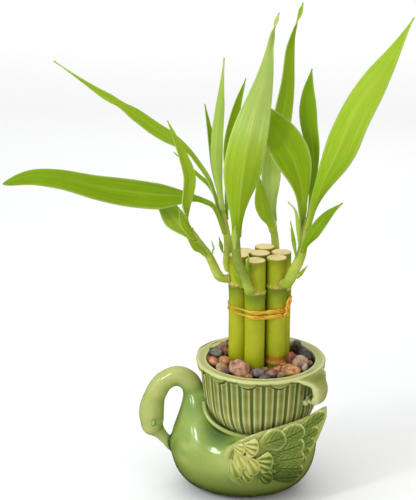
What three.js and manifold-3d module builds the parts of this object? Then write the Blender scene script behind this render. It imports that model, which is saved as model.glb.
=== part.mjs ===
// Lucky bamboo: seven cut stalks tied in a bunch, standing in pebbles in a glazed swan planter.
// Millimetres, +Z up. The origin is the middle of the pot's flat foot, and the swan faces -X.

import * as THREE from "three";
import { LoftGeometry } from "three/addons/geometries/LoftGeometry.js";
import { mergeVertices } from "three/addons/utils/BufferGeometryUtils.js";
import Module from "manifold-3d";

const wasm = await Module();
wasm.setup();

// Driving dimensions of the cup on the swan's back.
const CUP_X = 10;
const RIM_Z = 77;
const MOUTH_R = 30;
const CAVITY_FLOOR_Z = 37;
const FLUTES = 32;
const FLUTE_DEPTH = 0.9;
const FLUTE_TURN = 3.2;
const SCALLOPS = 12;
const SCALLOP_TURN = 144;
const SCALLOP_DROP = 1.8;
const CUP_SIDES = 96;

// Driving dimensions of the bunch of stalks.
const BUNCH_X = 9;
const STALK_R = 5.7;
const NODE_BULGE = 0.25;
const STALK_PITCH = 12;
const STALK_FOOT_Z = 39;
const CUT_Z = 138;
const FIRST_STALK_AZIMUTH = -102;

// Clearance between pieces that touch.
const GAP = 0.3;
const BLADE_THICKNESS = 0.7;
const SEED = 7;

const COLOURS = {
  glaze: { color: 0x8fa860, roughness: 0.2, metalness: 0 },
  pebbles: { color: 0xa8714f, roughness: 0.7, metalness: 0 },
  stalk: { color: 0xa8b83a, roughness: 0.4, metalness: 0 },
  shoot: { color: 0x8fae3c, roughness: 0.45, metalness: 0 },
  leaf: { color: 0x8fc02c, roughness: 0.45, metalness: 0 },
  gold: { color: 0xd9b23a, roughness: 0.3, metalness: 0.9 },
};

const part = new THREE.Group();

const v3 = (x, y, z) => new THREE.Vector3(x, y, z);
const radians = THREE.MathUtils.degToRad;
const { clamp, lerp, smoothstep } = THREE.MathUtils;

function add(name, geometry, look) {
  const mesh = new THREE.Mesh(geometry, new THREE.MeshStandardMaterial(COLOURS[look]));
  mesh.name = name;
  part.add(mesh);
}

// A small seeded random generator, so the pebbles fall the same way each time.
function randomFrom(seed) {
  let state = seed;
  return () => {
    state = (state * 1664525 + 1013904223) % 4294967296;
    return state / 4294967296;
  };
}

function solidOf(geometry) {
  const bare = new THREE.BufferGeometry().copy(geometry);
  bare.deleteAttribute("normal");
  bare.deleteAttribute("uv");
  const merged = mergeVertices(bare, 1e-4);
  return new wasm.Manifold(
    new wasm.Mesh({
      numProp: 3,
      vertProperties: new Float32Array(merged.attributes.position.array),
      triVerts: new Uint32Array(merged.index.array),
    }),
  );
}

function geometryOf(solid) {
  const mesh = solid.getMesh();
  const geometry = new THREE.BufferGeometry();
  geometry.setAttribute("position", new THREE.BufferAttribute(mesh.vertProperties, 3));
  geometry.setIndex(new THREE.BufferAttribute(mesh.triVerts, 1));
  geometry.computeVertexNormals();
  return geometry;
}

function joined(geometries) {
  return geometries.map(solidOf).reduce((sum, one) => sum.add(one));
}

// The largest body: a sealed hollow inside it is filled and a loose scrap is dropped.
function outerBody(solid) {
  const bodies = solid.decompose();
  return bodies.reduce((best, body) => (body.volume() > best.volume() ? body : best));
}

function loft(rings) {
  return new LoftGeometry(rings, { closed: true, capStart: true, capEnd: true });
}

// A level ring at height z, turned anticlockwise seen from above, whose point i lies at radius(i, angle).
function levelRing(z, count, centreX, pointAt) {
  return Array.from({ length: count }, (_, i) => {
    const angle = (i / count) * 2 * Math.PI;
    const [x, y, dz = 0] = pointAt(angle);
    return v3(centreX + x, y, z + dz);
  });
}

// A tube along a smooth curve. Its half size is deep(t) in the plane square to y, and wide(t) along y.
function tube(curve, steps, sides, deep, wide = deep) {
  const rings = [];
  for (let i = 0; i <= steps; i++) {
    const t = i / steps;
    const centre = curve.getPointAt(t);
    const tangent = curve.getTangentAt(t);
    const inPlane = v3(0, 1, 0).cross(tangent).normalize();
    const sideways = tangent.clone().cross(inPlane);
    const ring = [];
    for (let j = 0; j < sides; j++) {
      const angle = (j / sides) * 2 * Math.PI;
      ring.push(
        centre
          .clone()
          .addScaledVector(inPlane, Math.cos(angle) * deep(t))
          .addScaledVector(sideways, Math.sin(angle) * wide(t)),
      );
    }
    rings.push(ring);
  }
  return loft(rings);
}

function curveThrough(points) {
  return new THREE.CatmullRomCurve3(points.map((p) => v3(...p)), false, "centripetal");
}

// Half sizes along a tube from a few [share, size] pairs.
function sizesAlong(pairs) {
  return (t) => {
    const next = pairs.findIndex(([share]) => share >= t);
    if (next <= 0) return pairs[Math.max(next, 0)][1];
    const [t0, a] = pairs[next - 1];
    const [t1, b] = pairs[next];
    return lerp(a, b, smoothstep(t, t0, t1));
  };
}

// Pot

// The cup's outer wall from its foot, sunk in the swan's back, to under the lip: [below the rim, radius].
const CUP_WALL = [
  [41, 19],
  [38, 22.8],
  [35.5, 25.6],
  [32, 28.2],
  [26, 30.9],
  [10, 33],
];
// The lip above it: [below the rim, radius, share of the scallops' drop].
const CUP_LIP = [
  [4, 33.8, 1],
  [3.2, 35.3, 1],
  [1.6, 36, 0.3],
  [0, 35.2, 0],
];
const CAVITY_WALL = [
  [RIM_Z - CAVITY_FLOOR_Z, 17],
  [36, 22],
  [30, 25.6],
  [18, 28],
  [4, MOUTH_R],
  [-9, MOUTH_R],
];

// 1 on a rib and 0 in the narrow groove beside it.
function ribAt(angle) {
  const share = ((((angle - radians(FLUTE_TURN)) / (2 * Math.PI)) * FLUTES) % 1 + 1) % 1;
  return smoothstep(Math.min(share, 1 - share), 0.05, 0.3);
}

// How far the lip's scalloped edge hangs, 0 between scallops and 1 in the middle of one.
function scallopAt(angle) {
  return Math.max(0, Math.cos(angle * SCALLOPS + radians(SCALLOP_TURN)));
}

function cupSolid() {
  const rings = CUP_WALL.map(([below, radius], i) =>
    levelRing(RIM_Z - below, CUP_SIDES, CUP_X, (angle) => {
      const depth = i === 0 ? 0 : FLUTE_DEPTH;
      const r = radius - depth * (1 - ribAt(angle));
      return [r * Math.cos(angle), r * Math.sin(angle)];
    }),
  );
  const lip = CUP_LIP.map(([below, radius, share]) =>
    levelRing(RIM_Z - below, CUP_SIDES, CUP_X, (angle) => [
      radius * Math.cos(angle),
      radius * Math.sin(angle),
      -share * SCALLOP_DROP * scallopAt(angle),
    ]),
  );
  return solidOf(loft([...rings, ...lip]));
}

// The room inside the cup, or what fills it: drawn in by `inset` and up to `top` below the rim.
function cavitySolid(inset, top) {
  const level = (below, radius) =>
    levelRing(RIM_Z - below, CUP_SIDES / 3, CUP_X, (angle) => [
      (radius - inset) * Math.cos(angle),
      (radius - inset) * Math.sin(angle),
    ]);
  const lower = CAVITY_WALL.filter(([below]) => below > top);
  const [nextBelow, nextRadius] = CAVITY_WALL[lower.length];
  const [lastBelow, lastRadius] = lower[lower.length - 1];
  const share = (lastBelow - top) / (lastBelow - nextBelow);
  const rings = lower.map(([below, radius], i) => level(i === 0 ? below - inset : below, radius));
  rings.push(level(top, lerp(lastRadius, nextRadius, share)));
  return solidOf(loft(rings));
}

// The swan's body: [height, foremost x, rearmost x, half width].
const BODY_LEVELS = [
  [0, -22.5, 23.5, 18],
  [1.5, -27.5, 28.5, 22],
  [5, -33, 34, 27],
  [11, -37.5, 38.5, 32],
  [18, -40, 41, 34.5],
  [25, -41, 42, 35.5],
  [31, -40.3, 42.5, 35],
  [35, -38, 41.8, 33.4],
  [38, -34, 40, 30.6],
  [40, -29, 37, 27],
  [41, -24, 34, 23.5],
];
const BODY_SIDES = 36;
const BODY_SQUARENESS = 2.05;

function bodySolid() {
  const rings = BODY_LEVELS.map(([z, front, rear, half]) => {
    const a = (rear - front) / 2;
    return levelRing(z, BODY_SIDES, (front + rear) / 2, (angle) => {
      const c = Math.cos(angle);
      const s = Math.sin(angle);
      const power = 2 / BODY_SQUARENESS;
      return [a * Math.sign(c) * Math.abs(c) ** power, half * Math.sign(s) * Math.abs(s) ** power];
    });
  });
  return solidOf(loft(rings));
}

// Neck, head and beak lie in the swan's own plane, y = 0.
const NECK_PATH = [
  [-24, 0, 22],
  [-28, 0, 36],
  [-27.6, 0, 48],
  [-27.4, 0, 56],
  [-30.2, 0, 61.8],
  [-36.5, 0, 64.8],
  [-44, 0, 61.5],
  [-48.5, 0, 55],
  [-51, 0, 47],
  [-51.5, 0, 40],
  [-50, 0, 33],
];
const NECK_HALF = [
  [0, 15],
  [0.17, 10],
  [0.29, 6.6],
  [0.42, 5.8],
  [0.6, 5.5],
  [0.75, 6],
  [0.88, 7.1],
  [0.95, 6.8],
  [1, 4.6],
];
const BEAK_PATH = [
  [-50, 0, 33],
  [-45, 0, 28],
  [-39.5, 0, 19],
];
const EYE = [-50, 5.9, 39];

function neckSolids() {
  const neck = tube(curveThrough(NECK_PATH), 20, 12, sizesAlong(NECK_HALF));
  const beakDeep = sizesAlong([[0, 5.2], [0.5, 4], [1, 1.6]]);
  const beakWide = sizesAlong([[0, 5], [0.5, 3.4], [1, 1.5]]);
  const beak = tube(curveThrough(BEAK_PATH), 5, 12, beakDeep, beakWide);
  const eyes = [-1, 1].map((side) => {
    const eye = new THREE.OctahedronGeometry(1, 1);
    eye.scale(1.4, 1.2, 2.2);
    eye.translate(EYE[0], side * EYE[1], EYE[2]);
    return eye;
  });
  return joined([neck, beak, ...eyes]);
}

// Wing: a plate that follows the body's side, [x, middle height, half height], and feathers laid over it.
const WING_PLATE = [
  [-8, 30, 7],
  [0, 31, 11.5],
  [10, 32.5, 14.5],
  [21, 35, 15],
  [34, 39.5, 13.5],
  [42, 47, 9],
  [46.5, 53.5, 3.5],
];
const WING_HALF_THICKNESS = 2.2;
const WING_REACH = 36.5;
const WING_CURL = 0.0084;
const WING_CURL_X = 6;

// How far the wing's outer face stands from the swan's plane at x: most at WING_CURL_X, less fore and aft.
function wingReach(x) {
  return WING_REACH - WING_CURL * (x - WING_CURL_X) ** 2;
}

// Feathers on each wing: root and tip on the wing as [x, z], width, and how far it stands on those below it.
const FEATHERS = [
  { root: [27.2, 43.5], tip: [46.7, 55.5], width: 6.5, rise: 0 },
  { root: [29.1, 39.5], tip: [45.5, 47.2], width: 6.5, rise: 0.1 },
  { root: [30.6, 35.7], tip: [43.2, 41.5], width: 6.5, rise: 0.2 },
  { root: [31.5, 31.9], tip: [41, 35.5], width: 6.5, rise: 0.3 },
  { root: [29.5, 28.2], tip: [39.2, 29.8], width: 6.5, rise: 0.4 },
  { root: [26.6, 22.6], tip: [37.2, 23.6], width: 6.5, rise: 0.5 },
  { root: [15.1, 20.5], tip: [31.7, 19.8], width: 7, rise: 0.5 },
  { root: [17.4, 26.3], tip: [33.6, 24.4], width: 8, rise: 0.6 },
  { root: [17.4, 30.4], tip: [34.5, 31.6], width: 9, rise: 0.8 },
  { root: [15.7, 34.6], tip: [34.3, 39.6], width: 9.5, rise: 1 },
  { root: [17.2, 40.9], tip: [34.2, 48.2], width: 10.5, rise: 1.2 },
  { root: [9, 40.2], tip: [24.1, 45.6], width: 12, rise: 1.6 },
  { root: [9.2, 24.3], tip: [16.6, 18.6], width: 8, rise: 1.3 },
  { root: [7.8, 31.2], tip: [17.4, 29], width: 11.5, rise: 1.8 },
  { root: [-0.5, 26.3], tip: [5.2, 19], width: 7.5, rise: 1.6 },
  { root: [1, 40.6], tip: [9.4, 37.7], width: 10.5, rise: 2.2 },
  { root: [2.2, 34.6], tip: [8.4, 23.8], width: 8, rise: 2.2 },
  { root: [-2.9, 36.6], tip: [1.7, 26.9], width: 7.2, rise: 2.3 },
  { root: [-5.8, 31.6], tip: [-1.5, 20.9], width: 7.2, rise: 2 },
];

// A feather's half width from its root to its blunt round tip, as [share of its length, share of its width].
const FEATHER_OUTLINE = [
  [0, 0.35],
  [0.45, 0.9],
  [0.8, 0.94],
  [1, 0.35],
];
const FEATHER_HALF_THICKNESS = 1.6;
const FEATHER_SINK = 1.2;

function feather({ root, tip, width, rise }, side) {
  const [dx, dz] = [tip[0] - root[0], tip[1] - root[1]];
  const length = Math.hypot(dx, dz);
  const rings = FEATHER_OUTLINE.map(([along, share]) => {
    const ring = [];
    for (let j = 0; j < 6; j++) {
      const angle = (j / 6) * 2 * Math.PI;
      const y = FEATHER_HALF_THICKNESS * Math.sqrt(share) * Math.sin(angle);
      ring.push(v3(length * (along - 0.5), y, (width / 2) * share * -Math.cos(angle)));
    }
    return ring;
  });
  const shape = loft(rings);
  const [x, z] = [(root[0] + tip[0]) / 2, (root[1] + tip[1]) / 2];
  shape.rotateY(-Math.atan2(dz, dx));
  shape.rotateZ(-side * Math.atan(2 * WING_CURL * (x - WING_CURL_X)));
  shape.translate(x, side * (wingReach(x) + rise - FEATHER_SINK), z);
  return shape;
}

function wingSolid(side) {
  const rings = WING_PLATE.map(([x, z, half]) => {
    const ring = [];
    for (let j = 0; j < 12; j++) {
      const angle = (j / 12) * 2 * Math.PI;
      const y = side * (wingReach(x) - WING_HALF_THICKNESS) + WING_HALF_THICKNESS * Math.cos(angle);
      ring.push(v3(x, y, z + half * Math.sin(angle)));
    }
    return ring;
  });
  return joined([loft(rings), ...FEATHERS.map((one) => feather(one, side))]);
}

// Scroll handles: a broad tongue runs out from the lip, curls down and comes back to the cup's wall.
const HANDLE_AZIMUTHS = [-38, 142];
const HANDLE_PATH = [
  [30.5, 0, 75.2],
  [35.5, 0, 74.8],
  [40, 0, 71.5],
  [41, 0, 66],
  [38, 0, 61.5],
  [33.5, 0, 61],
  [30.5, 0, 62],
];
const HANDLE_HALF_WIDTH = [
  [0, 16],
  [0.2, 11],
  [0.4, 6],
  [0.65, 5],
  [1, 3.2],
];
const HANDLE_HALF_THICKNESS = [
  [0, 1.7],
  [0.25, 2],
  [0.5, 3],
  [0.65, 3.2],
  [1, 2.2],
];

// The small ball that closes each scroll.
const HANDLE_BALL = { place: [31.2, -4.2, 59.4], radius: 2.4 };

function handleSolid(azimuth) {
  const curve = curveThrough(HANDLE_PATH);
  const shape = tube(curve, 12, 12, sizesAlong(HANDLE_HALF_THICKNESS), sizesAlong(HANDLE_HALF_WIDTH));
  const ball = new THREE.IcosahedronGeometry(HANDLE_BALL.radius);
  ball.translate(...HANDLE_BALL.place);
  for (const piece of [shape, ball]) {
    piece.rotateZ(radians(azimuth));
    piece.translate(CUP_X, 0, 0);
  }
  return joined([shape, ball]);
}

function pot() {
  let solid = bodySolid().add(cupSolid()).add(neckSolids());
  for (const side of [-1, 1]) solid = solid.add(wingSolid(side));
  for (const azimuth of HANDLE_AZIMUTHS) solid = solid.add(handleSolid(azimuth));
  add("swan_planter", geometryOf(outerBody(solid.subtract(cavitySolid(0, -1)))), "glaze");
}

// Stalks

const azimuths = Array.from({ length: 6 }, (_, i) => FIRST_STALK_AZIMUTH + 60 * i);
const STALK_PLACES = [
  v3(BUNCH_X, 0, 0),
  ...azimuths.map((a) =>
    v3(BUNCH_X + STALK_PITCH * Math.cos(radians(a)), STALK_PITCH * Math.sin(radians(a)), 0),
  ),
];

// For each stalk: how much lower than CUT_Z it is cut, and the heights of its nodes.
const STALKS = [
  { name: "stalk_middle", low: 0, nodes: [114] },
  { name: "stalk_front", low: 0.5, nodes: [120] },
  { name: "stalk_right_front", low: 0, nodes: [122.5, 79] },
  { name: "stalk_right_back", low: 0.5, nodes: [117] },
  { name: "stalk_back", low: 0, nodes: [120] },
  { name: "stalk_left_back", low: 1.5, nodes: [123] },
  { name: "stalk_left_front", low: 0, nodes: [122] },
];

const STALK_SIDES = 14;

function stalkGeometry({ low, nodes }) {
  const top = CUT_Z - low;
  const profile = [
    [0, STALK_FOOT_Z],
    [STALK_R, STALK_FOOT_Z],
  ];
  for (const z of nodes.toSorted((a, b) => a - b)) {
    profile.push([STALK_R, z - 1.4]);
    profile.push([STALK_R + NODE_BULGE, z - 0.6]);
    profile.push([STALK_R + NODE_BULGE, z + 0.6]);
    profile.push([STALK_R, z + 1.4]);
  }
  profile.push([STALK_R, top - 0.7], [STALK_R - 0.5, top], [0, top]);
  const geometry = new THREE.LatheGeometry(profile.map(([r, z]) => new THREE.Vector2(r, z)), STALK_SIDES);
  geometry.rotateX(Math.PI / 2);
  return geometry;
}

function stalks() {
  STALKS.forEach((stalk, i) => {
    const geometry = stalkGeometry(stalk);
    geometry.translate(STALK_PLACES[i].x, STALK_PLACES[i].y, 0);
    add(stalk.name, geometry, "stalk");
  });
}

// Pebble bed

const BED_TOP_BELOW_RIM = 2;
const PEBBLE_RINGS = [
  { radius: 25.2, count: 13, rise: 0.2, size: 4.9 },
  { radius: 21, count: 10, rise: 1.6, size: 4.5 },
];
// The one large pebble at the front: where it lies and its size.
const LARGE_PEBBLE = { place: [-0.5, -23.6, 78], size: 5.8 };

// The well that the bunch stands in: a round hole for each stalk, with the space between them cleared.
const WELL_HEIGHT = 60;
const WELL_SIDES = 18;

function wellSolid() {
  const holeR = (STALK_R + NODE_BULGE + GAP) / Math.cos(Math.PI / WELL_SIDES);
  const holes = STALK_PLACES.slice(1).map((place) => {
    const hole = new THREE.CylinderGeometry(holeR, holeR, WELL_HEIGHT, WELL_SIDES);
    hole.rotateX(Math.PI / 2);
    hole.translate(place.x, place.y, STALK_FOOT_Z - GAP + WELL_HEIGHT / 2);
    return hole;
  });
  const hexagon = new THREE.CylinderGeometry(STALK_PITCH, STALK_PITCH, WELL_HEIGHT, 6);
  hexagon.rotateX(Math.PI / 2);
  hexagon.rotateZ(radians(FIRST_STALK_AZIMUTH + 90));
  hexagon.translate(BUNCH_X, 0, STALK_FOOT_Z - GAP + WELL_HEIGHT / 2);
  return joined([...holes, hexagon]);
}

function pebble(random, centre, size) {
  const shape = new THREE.DodecahedronGeometry(1);
  const [long, wide, tall] = [lerp(0.9, 1.15, random()), lerp(0.75, 1, random()), lerp(0.6, 0.8, random())];
  shape.scale(size * long, size * wide, size * tall);
  shape.rotateX(lerp(-0.5, 0.5, random()));
  shape.rotateY(lerp(-0.5, 0.5, random()));
  shape.rotateZ(random() * 2 * Math.PI);
  shape.translate(...centre);
  return shape;
}

function pebbleBed() {
  const random = randomFrom(SEED);
  const bed = cavitySolid(GAP, BED_TOP_BELOW_RIM);
  const pebbles = [];
  for (const { radius, count, rise, size } of PEBBLE_RINGS) {
    for (let i = 0; i < count; i++) {
      const angle = ((i + 0.6 * random()) / count) * 2 * Math.PI;
      const r = radius + lerp(-0.8, 0.8, random());
      const z = RIM_Z - BED_TOP_BELOW_RIM + rise + lerp(-0.6, 0.6, random());
      pebbles.push(pebble(random, [CUP_X + r * Math.cos(angle), r * Math.sin(angle), z], size));
    }
  }
  pebbles.push(pebble(random, LARGE_PEBBLE.place, LARGE_PEBBLE.size));
  const heap = joined(pebbles).intersect(cavitySolid(GAP, -8));
  add("pebble_bed", geometryOf(outerBody(bed.add(heap).subtract(wellSolid()))), "pebbles");
}

// Tie: a flat gold wire tie, two turns round the outer stalks, its ends twisted together at the right front.

const TIE_Z = 112;
const TIE_DROP = 2.9;
const TIE_HALF_TALL = { thin: 0.6, broad: 1.3 };
const TIE_BROAD_AZIMUTH = -65;
const TIE_HALF_THICK = 0.4;
const TIE_FIRST_STALK = 1;
const TIE_TURNS = 2;

// The twisted ends: heights along the twist and how far each stands off the band.
const TWIST_PATH = [
  [TIE_Z - TIE_DROP * TIE_TURNS, 0.4],
  [TIE_Z - 4, 1.8],
  [TIE_Z, 2.4],
  [TIE_Z + 4, 3.4],
  [TIE_Z + 8, 4.8],
];
const TWIST_TURNS = 1.5;
const TWIST_R = 0.75;
const WIRE_R = 0.75;

// The foil is drawn thin round most of the bunch, and lies broad at the right front.
function tieHalfTall(azimuth) {
  const facing = Math.cos(radians(azimuth - TIE_BROAD_AZIMUTH));
  return lerp(TIE_HALF_TALL.thin, TIE_HALF_TALL.broad, smoothstep(facing, 0.2, 0.8));
}

function tieRing(centre, outward, halfTall) {
  const across = outward.clone().multiplyScalar(TIE_HALF_THICK);
  const tall = v3(0, 0, halfTall);
  return [
    centre.clone().add(tall),
    centre.clone().add(across).addScaledVector(tall, 0.5),
    centre.clone().add(across).addScaledVector(tall, -0.5),
    centre.clone().sub(tall),
    centre.clone().sub(across).addScaledVector(tall, -0.5),
    centre.clone().sub(across).addScaledVector(tall, 0.5),
  ];
}

// One of the two wires twisted round each other, that start on the band and lean away from it.
function twistedWire(phase, reach) {
  const angle = radians(azimuths[TIE_FIRST_STALK]);
  const outward = v3(Math.cos(angle), Math.sin(angle), 0);
  const sideways = v3(-Math.sin(angle), Math.cos(angle), 0);
  const spine = new THREE.CatmullRomCurve3(
    TWIST_PATH.map(([z, off]) =>
      STALK_PLACES[1 + TIE_FIRST_STALK]
        .clone()
        .addScaledVector(outward, reach + off)
        .setZ(z),
    ),
  );
  const points = [];
  for (let i = 0; i <= 12; i++) {
    const turn = phase + (i / 12) * TWIST_TURNS * 2 * Math.PI;
    points.push(
      spine
        .getPoint(i / 12)
        .addScaledVector(sideways, TWIST_R * Math.cos(turn))
        .addScaledVector(outward, TWIST_R * Math.sin(turn)),
    );
  }
  return tube(new THREE.CatmullRomCurve3(points), 14, 5, () => WIRE_R);
}

function tie() {
  const reach = STALK_R + GAP + TIE_HALF_THICK;
  const rings = [];
  const bends = 6 * TIE_TURNS;
  for (let k = 0; k <= bends; k++) {
    const index = (k + TIE_FIRST_STALK) % 6;
    for (const turn of [-30, 0, 30]) {
      const isPastEnds = (k === 0 && turn < 0) || (k === bends && turn > 0);
      if (isPastEnds) continue;
      const azimuth = azimuths[0] + 60 * index + turn;
      const angle = radians(azimuth);
      const outward = v3(Math.cos(angle), Math.sin(angle), 0);
      const centre = STALK_PLACES[1 + index].clone().addScaledVector(outward, reach);
      centre.z = TIE_Z - TIE_DROP * ((k + turn / 60) / 6);
      rings.push(tieRing(centre, outward, tieHalfTall(azimuth)));
    }
  }
  const wires = [0, Math.PI].map((phase) => twistedWire(phase, reach));
  add("gold_tie", geometryOf(outerBody(joined([loft(rings), ...wires]))), "gold");
}

// Shoots: each stem leaves its stalk at a node, square to the stalk, and turns up.

const STEM_SIDES = 8;
const ELBOW = 2.2;
const SHOOTS = {
  shoot_left: {
    stalk: 6,
    toward: 192,
    path: [[-13, -6, 126], [-18.5, -8, 138], [-26, -10, 150], [-28, -11, 158]],
    half: [2.9, 1.7],
  },
  shoot_left_back: {
    stalk: 5,
    toward: 180,
    path: [[-9.2, 8, 130], [-8.8, 8.4, 139], [-10.2, 8.2, 150], [-12.5, 8, 162]],
    half: [2.7, 1.6],
  },
  shoot_front: {
    stalk: 1,
    toward: -108,
    path: [[0.5, -20.5, 131], [-3, -20.5, 140], [-4, -20, 150], [-4.5, -19.5, 158]],
    half: [2.8, 2.4],
  },
  shoot_back: {
    stalk: 4,
    toward: 52,
    path: [[17.5, 19.8, 131], [17, 19.5, 140], [16, 18, 148], [15.5, 17, 155]],
    half: [2.7, 1.8],
  },
  shoot_right: {
    stalk: 2,
    toward: -50,
    path: [[26.5, -16, 132], [30.5, -17, 142], [32, -17, 152], [33, -17, 163]],
    half: [3.3, 2.1],
  },
};

function stemOf(shoot) {
  const stalk = STALKS[shoot.stalk];
  const outward = v3(Math.cos(radians(shoot.toward)), Math.sin(radians(shoot.toward)), 0);
  const root = STALK_PLACES[shoot.stalk]
    .clone()
    .addScaledVector(outward, STALK_R + NODE_BULGE + GAP)
    .setZ(stalk.nodes[0] + 2.6);
  const elbow = root.clone().addScaledVector(outward, ELBOW);
  const points = [root, elbow, ...shoot.path.map((p) => v3(...p))];
  const curve = new THREE.CatmullRomCurve3(points, false, "centripetal");
  const [low, high] = shoot.half;
  const half = (t) => (t > 0.97 ? 0.55 : 1) * lerp(low, high, t);
  return { curve, half };
}

// Leaves

/*
  A blade's half width as a share of its widest: `neck` wide up to `petiole`, then wider up to `widest`, then
  drawn out to the tip, the more so the greater `taper` is. It is drawn in by `pinch` where it twists, and
  swells once more by `lastSwell` close to its tip.
*/
const LAST_SWELL_AT = 0.95;

function bladeShare(t, { neck, petiole, widest, taper, twistAt = 0.5, pinch = 0, lastSwell = 0 }) {
  const swell = lerp(neck, 1, smoothstep(t, petiole, widest));
  if (t < widest) return swell;
  const drawn = Math.max(0, Math.cos(((t - widest) / (1 - widest)) * (Math.PI / 2))) ** taper;
  const pinched = 1 - pinch * Math.exp(-(((t - twistAt) / 0.05) ** 2));
  return drawn * pinched + lastSwell * Math.exp(-(((t - LAST_SWELL_AT) / 0.028) ** 2));
}

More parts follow.
